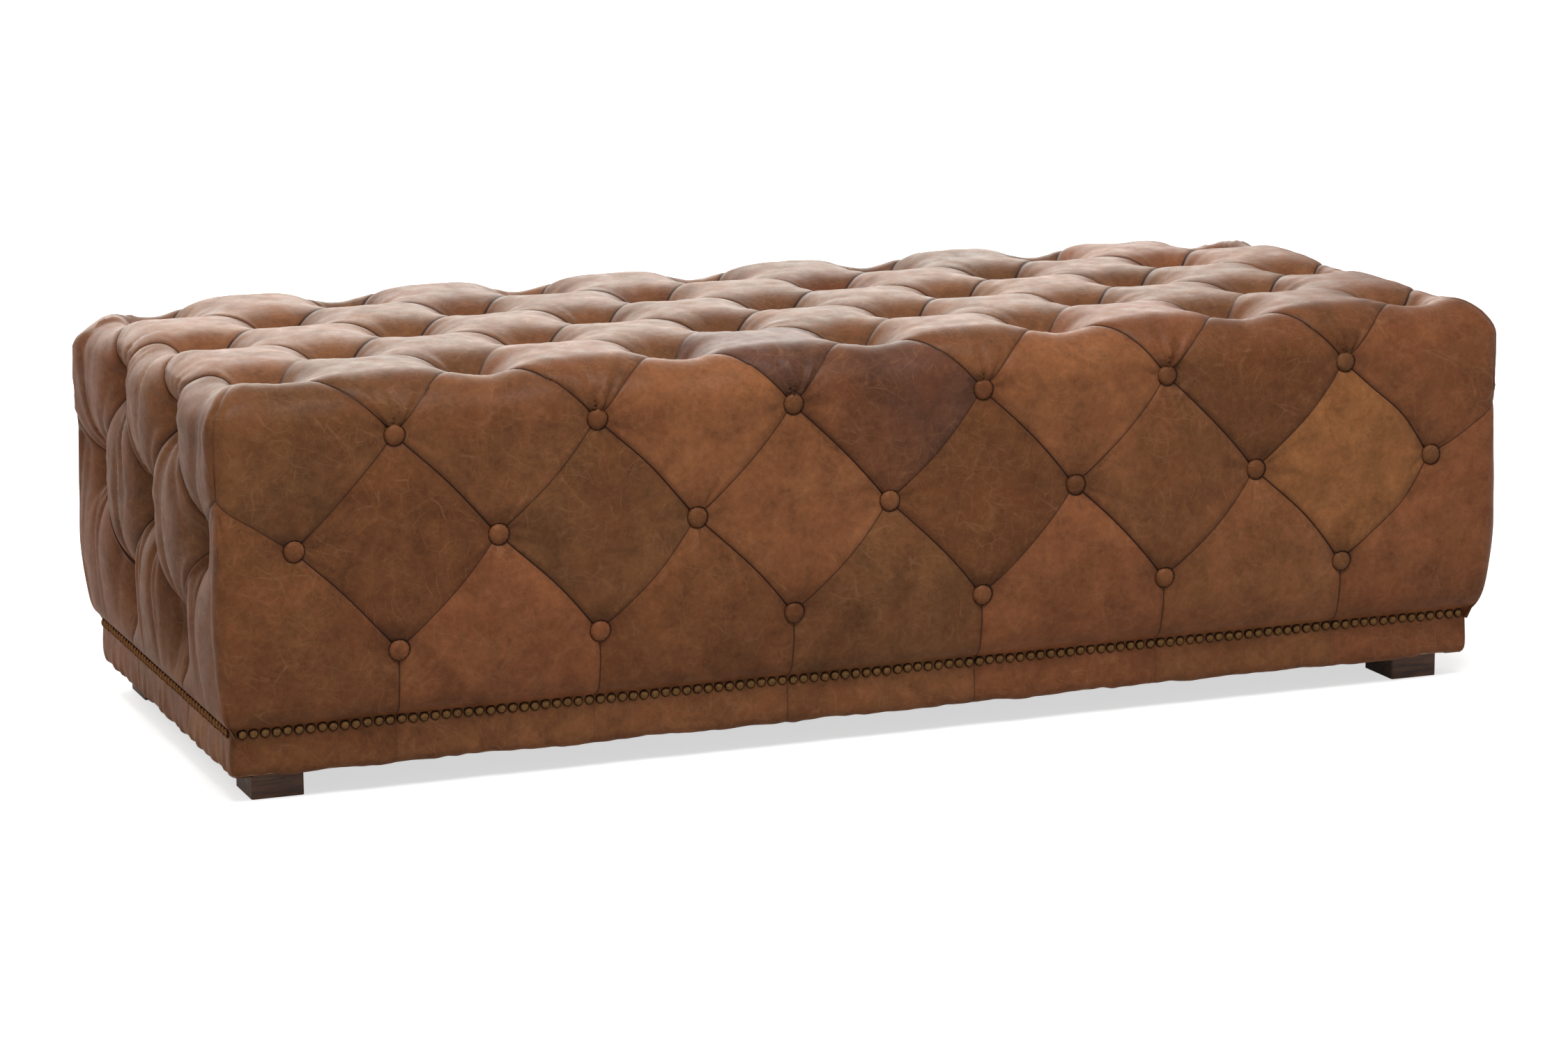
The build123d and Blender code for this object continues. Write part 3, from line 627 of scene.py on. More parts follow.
def dips(along_edge, over, columns, deep):
    fall = np.exp(-(((over - DIP_AT) / DIP_REACH) ** 2))
    return fall * sum(d * np.exp(-(((along_edge - c) / DIP_WIDTH) ** 2)) for c, d in zip(columns, deep))


over_long = np.where(is_top, HALF_Y - np.abs(placed[:, 1]), placed[:, 2] - HEIGHT)
over_end = np.where(is_top, HALF_X - np.abs(placed[:, 0]), placed[:, 2] - HEIGHT)
front_edge = dips(placed[:, 0], over_long, EVEN_X, FRONT_DIPS)
rear_edge = dips(placed[:, 0], over_long, EVEN_X + ODD_X[5:], REAR_DIPS)
end_edge = (is_top | is_end) * dips(placed[:, 1], over_end, EVEN_Y, END_DIPS)
depth += (is_top | is_long) * np.where(laid[:, 1] > 0, rear_edge, front_edge)
depth += end_edge * np.where(laid[:, 0] > 0, RIGHT_END_SHARE, 1.0)

# Dimples at the buttons: width, steepness and depth; painted shade beside the buttons of the long sides and
# in the pleats of the ends
TOP_DIMPLE = (0.036, 1.7, 0.038)
LONG_DIMPLE = (0.020, 1.2, 0.0115)
END_DIMPLE = (0.036, 1.6, 0.031)
DIMPLES = {
    "top": TOP_DIMPLE, "front": LONG_DIMPLE, "rear": LONG_DIMPLE, "left": END_DIMPLE, "right": END_DIMPLE,
}
DIMPLE_FLOOR = 0.009
DIMPLE_REACH = 0.20
BUTTON_SHADE_R = 0.024
PLEAT_SHADE = 0.55
# Painted shade: dark in the sunken pleats of the ends, and on one side of each button of the long sides
button_pleat_shade = PLEAT_SHADE * np.clip(crimp, 0, 1) * w_end
for face, at in buttons:
    across, upward = AXES[face][:2]
    d = placed - np.array(at)
    r = np.linalg.norm(d, axis=1)
    near = np.where(r < DIMPLE_REACH)[0]
    r = r[near]
    width, power, deep = DIMPLES[face]
    depth[near] += deep * np.exp(-((np.maximum(r, DIMPLE_FLOOR) / width) ** power))
    turn = rng.uniform(0.2, 1.6)
    strength = rng.uniform(0.5, 1.0)
    if face in ("front", "rear"):
        ang = np.arctan2(d[near] @ upward, d[near] @ across)
        one_sided = 0.55 + 0.45 * np.cos(ang - turn)
        button_pleat_shade[near] = np.maximum(button_pleat_shade[near], strength * one_sided * np.exp(-((r / BUTTON_SHADE_R) ** 2)))

# The tufts stop short of the foam under them
TUFT_SOFT = 0.027
TUFT_LEFT = 0.008
spare = np.maximum(depth - TUFT_SOFT, 0) / TUFT_LEFT
depth = np.minimum(depth, TUFT_SOFT) + TUFT_LEFT * (1 - np.exp(-spare))

# Faint swells, and puckers beside the seams
SWELL = (0.0010, 0.06, 6)
SMALL_SWELL = (0.0004, 0.025, 7)
SWELL_FROM_SEAM = (0.002, 0.02)
PUCKER = (0.0005, 0.010, 8)
PUCKER_FROM_SEAM = (0.0, 0.003)
PUCKER_REACH = 0.007
swells = relief(placed, *SWELL) + relief(placed, *SMALL_SWELL)
depth += swells * smooth(*SWELL_FROM_SEAM, seam)
depth += relief(placed, *PUCKER) * np.exp(-seam / PUCKER_REACH) * smooth(*PUCKER_FROM_SEAM, seam)

# The skirt draws in to the band, most of it in the last few millimetres
SKIRT_HEIGHT = 0.105
SKIRT_CURVE = 1.6
HEM_REACH = 0.0075
HEM_SHARE = 0.40
END_DRAW = 0.0205
LONG_DRAW = 0.0330
HEM_FADE = (SKIRT_Z - 0.002, SKIRT_Z + 0.030)
TUCK = 0.006
above = np.maximum(placed[:, 2] - SKIRT_Z, 0)
draw = HEM_SHARE * np.exp(-above / HEM_REACH)
draw = draw + (1 - HEM_SHARE) * np.clip(1 - above / SKIRT_HEIGHT, 0, 1) ** SKIRT_CURVE
low_fade = smooth(*HEM_FADE, placed[:, 2])
cover = box - normal * (depth * low_fade)[:, None]
cover[:, 0] -= np.sign(laid[:, 0]) * draw * END_DRAW * np.abs(normal[:, 0])
cover[:, 1] -= np.sign(laid[:, 1]) * draw * LONG_DRAW * np.abs(normal[:, 1])
tucked = placed[:, 2] < SKIRT_Z - 1e-4
cover[tucked] -= normal[tucked] * TUCK

cover_obj = mesh_object("tufted_cover", cover, faces)

# Tones of the leather patches
OLIVE = (0.116, 0.048, 0.019)
UMBER = (0.118, 0.044, 0.017)
CHESTNUT = (0.147, 0.057, 0.023)
RUDDY = (0.157, 0.056, 0.023)
RUSSET = (0.194, 0.073, 0.029)
TAN = (0.224, 0.089, 0.032)
DUSK = (0.088, 0.037, 0.023)
TONES = [OLIVE, UMBER, CHESTNUT, RUDDY, CHESTNUT, UMBER]
EDGE_ROW = (OLIVE, CHESTNUT, DUSK, CHESTNUT, RUDDY, UMBER)
HIGH_ROW = (OLIVE, CHESTNUT, RUSSET, DUSK, RUSSET, UMBER, RUDDY)
MID_ROW = (UMBER, OLIVE, RUSSET, UMBER, CHESTNUT, TAN)
LOW_ROW = (UMBER, RUDDY, UMBER, OLIVE, RUDDY, CHESTNUT, RUDDY)
EDGE_PATCH_IN = 0.07
LOW_ROW_PAINTED_LIGHT = 1.17
TOP_OWN = 0.45
TOP_PAINTED_LIGHT = 1.12
tone = np.array([TONES[i] for i in rng.randint(0, len(TONES), len(patches))])
tone *= rng.uniform(0.92, 1.10, (len(patches), 1))
middle = np.array([patch["p"].reshape(-1, 3).mean(0) for patch in patches])
on_top = middle[:, 2] > HEIGHT - 0.001
# Top patches: mixed towards olive, and painted lighter for the light that falls on the top
tone[on_top] = TOP_OWN * tone[on_top] + (1 - TOP_OWN) * np.array(OLIVE) * TOP_PAINTED_LIGHT


def patch_at(x, y, z):
    return np.argmin(np.linalg.norm(middle - np.array((x, y, z)), axis=1))


# Front patches get their listed tones; the lowest row is painted lighter against the weaker light low on the
# front
for columns, y, z, colours, light in (
    (ODD_X, -HALF_Y + EDGE_PATCH_IN, HEIGHT, EDGE_ROW, 1.0),
    (EVEN_X, -HALF_Y, HIGH_Z, HIGH_ROW, 1.0),
    (ODD_X, -HALF_Y, MID_Z, MID_ROW, 1.0),
    (EVEN_X, -HALF_Y, LOW_Z, LOW_ROW, LOW_ROW_PAINTED_LIGHT),
):
    for x, colour in zip(columns, colours):
        tone[patch_at(x, y, z)] = np.array(colour) * light

# The dusky patch browns towards its lower left
BROWN_RUN = (0.05, -0.11)
BROWN_SLOPE = 0.6
corner_tone = np.ones((len(faces) * 4, 4))
corner_tone[:, :3] = np.repeat(tone[face_patch], 4, axis=0)
corner_at = laid[faces.ravel()]
dusky = np.repeat(face_patch == patch_at(0.0, -HALF_Y, HIGH_Z), 4)
way = corner_at[dusky, 0] + BROWN_SLOPE * (corner_at[dusky, 2] - HIGH_Z)
brown = smooth(*BROWN_RUN, way)[:, None]
corner_tone[dusky, :3] = np.array(DUSK) * (1 - brown) + np.array(RUDDY) * brown

# What the leather shows at each point: the way to seams and buttons in millimetres, painted shade by the
# buttons and in the pleats, and dull parts
# The painted seam shade reaches wider on the top and on the ends
TOP_SEAM_WIDER = 0.42
END_SEAM_WIDER = 0.30
TOP_DULL = 0.40
END_DULL = (0.3, 0.9)
attribute(cover_obj, "tone", corner_tone, "FLOAT_COLOR", "CORNER")
attribute(cover_obj, "seam", seam * MM * (1 - TOP_SEAM_WIDER * w_top - END_SEAM_WIDER * w_end))
attribute(cover_obj, "force", layers["force"])
attribute(cover_obj, "button", np.minimum(reach, 1.0) * MM)
attribute(cover_obj, "button_pleat_shade", button_pleat_shade)
attribute(cover_obj, "dull", np.maximum(smooth(*END_DULL, normal[:, 0] ** 2), TOP_DULL * w_top))


# Shader nodes of one material or of the world
class Nodes:
    def __init__(self, owner, output="ShaderNodeOutputMaterial"):
        owner.use_nodes = True
        self.owner = owner
        self.tree = owner.node_tree
        self.tree.nodes.clear()
        self.out = self.add(output)

    def add(self, kind, **values):
        node = self.tree.nodes.new(kind)
        for key, value in values.items():
            setattr(node, key, value)
        return node

    def link(self, a, b):
        self.tree.links.new(a, b)

    def put(self, socket, value):
        if isinstance(value, bpy.types.NodeSocket):
            self.link(value, socket)
        elif isinstance(value, tuple) and len(value) == 3 and socket.type == "RGBA":
            socket.default_value = (*value, 1.0)
        else:
            socket.default_value = value

    def made(self, kind, inputs, **values):
        node = self.add(kind, **values)
        for key, value in inputs.items():
            self.put(node.inputs[key], value)
        return node

    def coords(self):
        return self.add("ShaderNodeTexCoord").outputs["Object"]

    def mapping(self, vector, scale):
        return self.made("ShaderNodeMapping", {"Vector": vector, "Scale": scale}).outputs[0]

    def noise(self, vector, scale, detail=3.0, rough=0.5, distort=0.0):
        inputs = {"Vector": vector, "Scale": scale, "Detail": detail, "Roughness": rough}
        inputs["Distortion"] = distort
        return self.made("ShaderNodeTexNoise", inputs).outputs["Fac"]

    def warped(self, vector, scale, amount):
        wave = self.made("ShaderNodeTexNoise", {"Vector": vector, "Scale": scale}).outputs["Color"]
        inputs = {0: wave, 1: (amount, amount, amount), 2: vector}
        return self.made("ShaderNodeVectorMath", inputs, operation="MULTIPLY_ADD").outputs[0]

    def voronoi(self, vector, scale, feature="F1"):
        inputs = {"Vector": vector, "Scale": scale}
        return self.made("ShaderNodeTexVoronoi", inputs, feature=feature).outputs["Distance"]

    def math(self, kind, a, b, clamp=False):
        return self.made("ShaderNodeMath", {0: a, 1: b}, operation=kind, use_clamp=clamp).outputs[0]

    def ramp(self, value, low, high, a=0.0, b=1.0):
        inputs = {"Value": value, "From Min": low, "From Max": high, "To Min": a, "To Max": b}
        return self.made("ShaderNodeMapRange", inputs).outputs[0]

    def mix(self, fac, a, b, blend="MIX"):
        inputs = {0: fac, 6: a, 7: b}
        return self.made("ShaderNodeMix", inputs, data_type="RGBA", blend_type=blend).outputs[2]

    def tinted(self, colour, fac, strength, tint):
        return self.mix(self.math("MULTIPLY", fac, strength), colour, tint)

    def grey(self, value):
        return self.made("ShaderNodeCombineColor", {0: value, 1: value, 2: value}).outputs[0]

    def attr(self, name, output="Fac"):
        return self.add("ShaderNodeAttribute", attribute_name=name).outputs[output]

    def bump(self, height, strength, distance):
        inputs = {"Height": height, "Strength": strength, "Distance": distance}
        return self.made("ShaderNodeBump", inputs).outputs[0]

    def show(self, shader):
        self.link(shader.outputs[0], self.out.inputs["Surface"])
        return self.owner

    def finish(self, colour, rough, normal=None, metallic=0.0, specular=0.5, **more):
        inputs = {key.replace("_", " "): value for key, value in more.items()}
        inputs.update({"Base Color": colour, "Roughness": rough, "Metallic": metallic})
        inputs["Specular IOR Level"] = specular
        if normal is not None:
            inputs["Normal"] = normal
        return self.show(self.made("ShaderNodeBsdfPrincipled", inputs))


def material(name):
    return Nodes(bpy.data.materials.new(name))


# Pull-up leather: mottled, scuffed with pale scratches, with painted shade in the seams, round the buttons
# and in the pleats
RED_CAST = (0.155, 0.047, 0.018)
GREEN_CAST = (0.132, 0.058, 0.023)
SCRATCH = (0.290, 0.140, 0.066)
SCUFF = (0.285, 0.130, 0.060)
SPECK = (0.045, 0.018, 0.009)
PAINTED_SEAM_SHADE = (0.024, 0.009, 0.005)
LEATHER_SPECULAR = 0.07
SCRATCH_STRETCH = (6.0, 1.0, 1.0)
SCRATCHES = (
    ((0.1, 0.45, 0.0), 36.0), ((0.0, -0.75, 0.1), 44.0), ((0.2, 1.35, 0.3), 52.0),
    ((0.1, 0.2, 0.8), 40.0), ((0.7, 0.0, -1.1), 48.0),
)


def mottled(n, at, colour):
    cloud = n.ramp(n.noise(at, 6.0, 4.0, 0.6, 0.5), 0.3, 0.7, 0.87, 1.13)
    patchy = n.ramp(n.noise(at, 24.0, 8.0, 0.70, 0.25), 0.35, 0.65, -0.25, 0.25)
    fine = n.ramp(n.noise(at, 150.0, 6.0, 0.72), 0.35, 0.65, -0.15, 0.15)
    shade = n.math("ADD", n.math("ADD", cloud, patchy), fine)
    colour = n.mix(1.0, colour, n.grey(shade), "MULTIPLY")
    red = n.ramp(n.noise(at, 14.0, 6.0, 0.65, 0.6), 0.46, 0.70)
    colour = n.tinted(colour, red, 0.40, RED_CAST)
    green = n.ramp(n.noise(n.mapping(at, (1.0, 1.3, 0.8)), 17.0, 6.0, 0.65, 0.4), 0.52, 0.74)
    return n.tinted(colour, green, 0.35, GREEN_CAST)


def scratches(n, at):
    web = n.ramp(n.voronoi(at, 70.0, "DISTANCE_TO_EDGE"), 0.0, 0.035, 1.0, 0.0)
    web = n.math("MULTIPLY", web, n.ramp(n.noise(at, 20.0, 4.0, 0.65), 0.52, 0.66), True)
    mark = n.math("MULTIPLY", web, 0.6)
    bent = n.warped(at, 16.0, 0.03)
    for turn, scale in SCRATCHES:
        inputs = {"Vector": bent, "Rotation": turn, "Scale": SCRATCH_STRETCH}
        tilted = n.made("ShaderNodeMapping", inputs, vector_type="TEXTURE").outputs[0]
        lines = n.ramp(n.voronoi(tilted, scale, "DISTANCE_TO_EDGE"), 0.0, 0.030, 1.0, 0.0)
        gaps = n.ramp(n.noise(at, scale * 0.55, 4.0, 0.7), 0.50, 0.68)
        mark = n.math("MAXIMUM", mark, n.math("MULTIPLY", lines, gaps, True))
    return mark


# Painted shade: a dark line down each seam and round each button's rim, and soft shade beside the seams
def seam_shade(n):
    gap = n.attr("seam")
    hard = n.ramp(n.attr("force"), 0.0, 1.0, 0.40, 1.0)
    line = n.math("MULTIPLY", n.ramp(gap, 0.45, 1.25, 0.86, 0.0), hard)
    line = n.math("MAXIMUM", line, n.ramp(n.attr("button"), 11.6, 13.0, 0.85, 0.0))
    soft = n.math("MULTIPLY", n.ramp(gap, 0.0, 8.0, 0.20, 0.0), hard)
    # Painted shade by the buttons of the long sides and in the pleats of the ends
    soft = n.math("ADD", soft, n.math("MULTIPLY", n.attr("button_pleat_shade"), 0.45))
    return n.math("ADD", line, soft, True)


def leather(name, seams=True, base=None):
    n = material(name)
    at = n.coords()
    colour = mottled(n, at, n.attr("tone", "Color") if base is None else base)
    mark = scratches(n, at)
    colour = n.tinted(colour, mark, 0.34, SCRATCH)
    scuff = n.ramp(n.noise(n.mapping(at, (1.0, 1.0, 1.6)), 55.0, 9.0, 0.74, 0.8), 0.52, 0.70)
    scuff = n.math("MULTIPLY", scuff, n.ramp(n.noise(at, 11.0, 3.0, 0.6), 0.38, 0.62), True)
    colour = n.tinted(colour, scuff, 0.26, SCUFF)
    colour = n.tinted(colour, n.ramp(n.noise(at, 520.0, 2.0), 0.60, 0.74), 0.25, SPECK)
    rough = n.ramp(n.noise(at, 45.0, 4.0, 0.6), 0.3, 0.7, 0.34, 0.48)
    if seams:
        colour = n.mix(seam_shade(n), colour, PAINTED_SEAM_SHADE)
        rough = n.math("ADD", rough, n.ramp(n.attr("dull"), 0.0, 1.0, 0.0, 0.11))
    grain = n.math("MULTIPLY", n.voronoi(at, 620.0), 0.25)
    crinkle = n.math("MULTIPLY", n.noise(at, 90.0, 6.0, 0.65, 0.5), 0.8)
    height = n.math("ADD", n.math("ADD", grain, crinkle), n.math("MULTIPLY", mark, 0.15))
    return n.finish(colour, rough, n.bump(height, 0.20, 0.0011), specular=LEATHER_SPECULAR)


cover_obj.data.materials.append(leather("tufted_leather"))


# Round caps: rings of points turned about an axis, and the faces between the rings
class Caps:
    def __init__(self, profile, ring, lift):
        self.profile = profile
        self.ring = ring
        self.lift = lift
        self.verts = []
        self.faces = []

    def add(self, centre, face, tilt, gather):
        across, upward, outward = AXES[face]
        axis = outward + tilt[0] * across + tilt[1] * upward
        start = len(self.verts)
        for r, h in self.profile:
            for a in np.linspace(0, 2 * math.pi, self.ring, endpoint=False):
                spoke = (across * math.cos(a) + upward * math.sin(a)) * r * gather(r, a)
                self.verts.append(centre + axis * (h + self.lift) + spoke)
        for k, j in product(range(len(self.profile) - 1), range(self.ring)):
            inner = start + k * self.ring
            outer = inner + self.ring
            j2 = (j + 1) % self.ring
            self.faces.append((inner + j, outer + j, outer + j2, inner + j2))


# Buttons: domed caps with a gathered rim
BUTTON_PROFILE = (
    (0.0, 0.0057), (0.0030, 0.0056), (0.0058, 0.0052), (0.0080, 0.0045), (0.0096, 0.0035),
    (0.0107, 0.0021), (0.0112, 0.0008), (0.0111, -0.0006), (0.0104, -0.0022),
)
BUTTON_TILT = 0.08
RIM_FROM = (0.007, 0.011)
RIM_GATHER = 0.025
RIM_FOLDS = 14
caps = Caps(BUTTON_PROFILE, ring=40, lift=0.0022)
for face, at in buttons:
    tilt = rng.uniform(-BUTTON_TILT, BUTTON_TILT, 2)
    start = rng.uniform(0, FULL_TURN)
    seat = cover[np.argmin(np.linalg.norm(laid - np.array(at), axis=1))]
    caps.add(seat, face, tilt,
             lambda r, a: 1 + RIM_GATHER * smooth(*RIM_FROM, r) * math.sin(RIM_FOLDS * a + start))
button_obj = mesh_object("leather_buttons", caps.verts, caps.faces)
draws = len(buttons) + 1
button_tones = np.array(TONES)[rng.randint(0, len(TONES), draws)] * rng.uniform(0.85, 1.15, (draws, 1))
paint_faces(button_obj, np.repeat(button_tones[:-1], len(caps.faces) // len(buttons), axis=0))
button_obj.data.materials.append(leather("button_leather", seams=False))

# Nailheads: one close row, each a little out of true
NAIL_PROFILE = (
    (0.0, 0.0031), (0.0018, 0.0029), (0.0034, 0.0023), (0.0046, 0.0014),
    (0.0054, 0.0003), (0.0056, -0.0008), (0.0052, -0.0012),
)
NAIL_R = 0.0056
NAIL_RING = 20
NAIL_STEP = 0.0123
NAIL_FROM_CORNER = 0.0115
NAIL_SHIFT = 0.0005
NAIL_TILT = 0.10


def nail_row(half):
    last = half - NAIL_FROM_CORNER
    return np.linspace(-last, last, int(2 * last / NAIL_STEP) + 1)


places = [(face, (x, s * BAND_Y, NAIL_Z)) for face, s in LONG_SIDES for x in nail_row(BAND_X)]
places += [(face, (s * BAND_X, y, NAIL_Z)) for face, s in END_SIDES for y in nail_row(BAND_Y)]
nails = Caps(NAIL_PROFILE, ring=NAIL_RING, lift=0.0012)
for face, at in places:
    across, upward = AXES[face][:2]
    shift = rng.uniform(-NAIL_SHIFT, NAIL_SHIFT, 2)
    tilt = rng.uniform(-NAIL_TILT, NAIL_TILT, 2)
    nails.add(np.array(at) + across * shift[0] + upward * shift[1], face, tilt, lambda r, a: 1)
nail_obj = mesh_object("brass_nailheads", nails.verts, nails.faces)
rim = np.repeat([r / NAIL_R for r, h in NAIL_PROFILE], NAIL_RING)
attribute(nail_obj, "rim", np.tile(rim, len(places)))


def antique_brass(name):
    n = material(name)
    at = n.coords()
    edge = n.math("MULTIPLY", n.ramp(n.attr("rim"), 0.60, 1.0), 0.8)
    tarnish = n.math("ADD", n.ramp(n.noise(at, 420.0, 4.0, 0.6), 0.35, 0.7, 0.0, 0.5), edge, True)
    colour = n.mix(tarnish, (0.165, 0.085, 0.033), (0.014, 0.008, 0.005))
    rough = n.ramp(tarnish, 0.0, 1.0, 0.30, 0.62)
    normal = n.bump(n.noise(at, 900.0, 3.0), 0.15, 0.0004)
    return n.finish(colour, rough, normal, metallic=0.9, Specular_Tint=(0.42, 0.25, 0.12, 1.0))


brass = antique_brass("antique_brass")
nail_obj.data.materials.append(brass)

# Leather band: a strip wrapped round the base, with upright seams and a soft lower edge
BAND_STEP = 0.0025
BAND_CORNER_STEPS = 6
BAND_PROFILE = (
    (-0.0006, 0.0845), (0.0004, 0.0835), (0.0006, 0.081), (0.0006, 0.076), (0.0008, 0.070),
    (0.0012, 0.062), (0.0016, 0.054), (0.0018, 0.046), (0.0016, 0.040), (0.0008, 0.0355),
    (-0.0010, 0.0322), (-0.0040, 0.0300), (-0.0100, 0.0295), (-0.0240, 0.0297),
)
BAND_PUCKER = (0.0011, 0.011, 11)
BAND_SWELL = (0.0012, 0.05, 12)
BAND_WAVE = (0.0022, 0.030, 13)
BAND_RIPPLE = (0.0010, 0.012, 14)
BAND_SOFT = (0.075, 0.032)
PUCKER_LENGTH = 4
END_PUCKER = 2.2
BAND_SEAM_DEPTH = 0.0016
BAND_SEAM_REACH = 0.003
BAND_FORCE = 0.3
FRONT_BAND = (UMBER, CHESTNUT, CHESTNUT, CHESTNUT, RUDDY, CHESTNUT, RUDDY)
FRONT_BAND_PAINTED_LIGHT = 1.10
BAND_TONES = 40


# Points round the base and their outward directions
def band_loop():
    r = BAND_CORNER_R
    x, y = BAND_X - r, BAND_Y - r
    runs = [((-x, -BAND_Y), (x, -BAND_Y)), ((BAND_X, -y), (BAND_X, y)),
            ((x, BAND_Y), (-x, BAND_Y)), ((-BAND_X, y), (-BAND_X, -y))]
    centres = [(x, -y), (x, y), (-x, y), (-x, -y)]
    points = []
    for (a, b), centre, turn in zip(runs, centres, (-90, 0, 90, 180)):
        a, b = np.array(a), np.array(b)
        length = np.linalg.norm(b - a)
        d = (b - a) / length
        for t in np.linspace(0, 1, int(length / BAND_STEP), endpoint=False):
            points.append((*(a + (b - a) * t), d[1], -d[0]))
        for t in np.linspace(0, 90, BAND_CORNER_STEPS, endpoint=False):
            ang = math.radians(turn + t)
            out = (math.cos(ang), math.sin(ang))
            points.append((centre[0] + r * out[0], centre[1] + r * out[1], *out))
    points = np.array(points)
    return points[:, :2], points[:, 2:]


def make_band():
    xy, out = band_loop()
    count = len(xy)
    rows = len(BAND_PROFILE)
    flat = np.stack([xy[:, 0], xy[:, 1], np.zeros(count)], -1)
    on_long = np.abs(np.abs(xy[:, 1]) - BAND_Y) < 1e-4
    on_end = np.abs(np.abs(xy[:, 0]) - BAND_X) < 1e-4
    gap = np.full(count, 9.0)
    for on_side, along_side, columns in ((on_long, xy[:, 0], ODD_X), (on_end, xy[:, 1], ODD_Y)):
        for c in columns:
            gap[on_side] = np.minimum(gap[on_side], np.abs(along_side[on_side] - c))
    verts = []
    for o, z in BAND_PROFILE:
        soft = smooth(*BAND_SOFT, z)
        pucker = relief(flat + (0, 0, z / PUCKER_LENGTH), *BAND_PUCKER) * soft
        pucker *= np.where(on_end, END_PUCKER, 1.0)
        swell = relief(flat + (0, 0, z), *BAND_SWELL)
        wave = relief(flat, *BAND_WAVE) * soft + relief(flat, *BAND_RIPPLE) * soft
        dent = -BAND_SEAM_DEPTH * np.exp(-gap / BAND_SEAM_REACH)
        p = flat.copy()
        p[:, :2] += out * (o + pucker + swell + dent)[:, None]
        p[:, 2] = z + wave
        verts.append(p)
    j = np.arange(count)
    j2 = (j + 1) % count
    strips = [(k * count, (k + 1) * count) for k in range(rows - 1)]
    quads = [np.stack([upper + j, lower + j, lower + j2, upper + j2], -1) for upper, lower in strips]
    obj = mesh_object("leather_band", np.concatenate(verts), np.concatenate(quads))
    total = count * rows
    attribute(obj, "seam", np.tile(np.minimum(gap, 1.0) * MM, rows))
    attribute(obj, "force", np.full(total, BAND_FORCE))
    attribute(obj, "button", np.full(total, 1.0 * MM))
    attribute(obj, "button_pleat_shade", np.zeros(total))
    attribute(obj, "dull", np.tile(on_end, rows))
    piece = np.zeros(count, int)
    piece[on_long] = np.searchsorted(ODD_X, xy[on_long, 0]) + np.where(xy[on_long, 1] > 0, 10, 0)
    piece[on_end] = np.searchsorted(ODD_Y, xy[on_end, 1]) + np.where(xy[on_end, 0] > 0, 20, 30)
    tones = np.array(TONES)[rng.randint(0, len(TONES), BAND_TONES)]
    # Painted light: the band tones are lifted 5 to 25 percent, and the front ones are set a tenth above
    # their listed tones, against the shade under the overhang
    tones = tones * rng.uniform(1.05, 1.25, (BAND_TONES, 1))
    tones[:len(FRONT_BAND)] = np.array(FRONT_BAND) * FRONT_BAND_PAINTED_LIGHT
    paint_faces(obj, np.tile(tones[piece], (rows - 1, 1)))
    return obj


band_obj = make_band()
band_obj.data.materials.append(leather("band_leather"))


# Feet and inner pieces keep their own form and get a material
def wood(name, pale, dark, scale=1.0):
    n = material(name)
    at = n.coords()
    grain = n.noise(n.mapping(at, (6.0 * scale, 46.0 * scale, 46.0 * scale)), 1.6, 6.0, 0.65, 1.2)
    streak = n.noise(n.mapping(at, (14.0 * scale, 260.0 * scale, 260.0 * scale)), 1.0, 4.0, 0.6)
    fac = n.math("ADD", n.ramp(grain, 0.35, 0.65, 0.0, 0.7), n.ramp(streak, 0.4, 0.65, 0.0, 0.4), True)
    normal = n.bump(n.math("ADD", grain, streak), 0.25, 0.0008)
    return n.finish(n.mix(fac, pale, dark), n.ramp(grain, 0.3, 0.7, 0.5, 0.66), normal, specular=0.4)


def foam(name):
    n = material(name)
    pores = n.voronoi(n.coords(), 420.0)
    colour = n.mix(n.ramp(pores, 0.1, 0.6), (0.56, 0.47, 0.28), (0.74, 0.66, 0.44))
    return n.finish(colour, 0.9, n.bump(pores, 0.4, 0.001), specular=0.1)


def cloth(name, dark, pale):
    n = material(name)
    weave = n.noise(n.mapping(n.coords(), (900.0, 900.0, 900.0)), 1.0, 2.0)
    colour = n.mix(n.ramp(weave, 0.35, 0.65), dark, pale)
    return n.finish(colour, 0.9, n.bump(weave, 0.3, 0.0005), specular=0.1)


def steel(name):
    n = material(name)
    dull = n.noise(n.coords(), 300.0, 3.0)
    colour = n.mix(n.ramp(dull, 0.3, 0.7), (0.42, 0.42, 0.43), (0.62, 0.62, 0.63))
    return n.finish(colour, n.ramp(dull, 0.3, 0.7, 0.25, 0.45), metallic=1.0)


FOOT_WEAR = 0.0032
plain_leather = leather("plain_leather", seams=False, base=(0.125, 0.050, 0.024))
materials = {
    "dark_wood": wood("dark_wood", (0.135, 0.062, 0.032), (0.028, 0.013, 0.008), 1.6),
    "frame_wood": wood("frame_wood", (0.52, 0.34, 0.18), (0.34, 0.20, 0.10)),
    "plywood": wood("plywood", (0.60, 0.42, 0.24), (0.44, 0.29, 0.15)),
    "foam": foam("foam"),
    "black_fabric": cloth("black_fabric", (0.010, 0.010, 0.011), (0.024, 0.024, 0.025)),
    "twine": cloth("twine", (0.46, 0.38, 0.24), (0.62, 0.54, 0.38)),
    "steel": steel("steel"),
    "antique_brass": brass,
    "tufted_leather": plain_leather,
    "button_leather": plain_leather,
    "band_leather": plain_leather,
}
slots = {part["node"]: part["material_slot"] for part in frame["record"]["subparts"]}
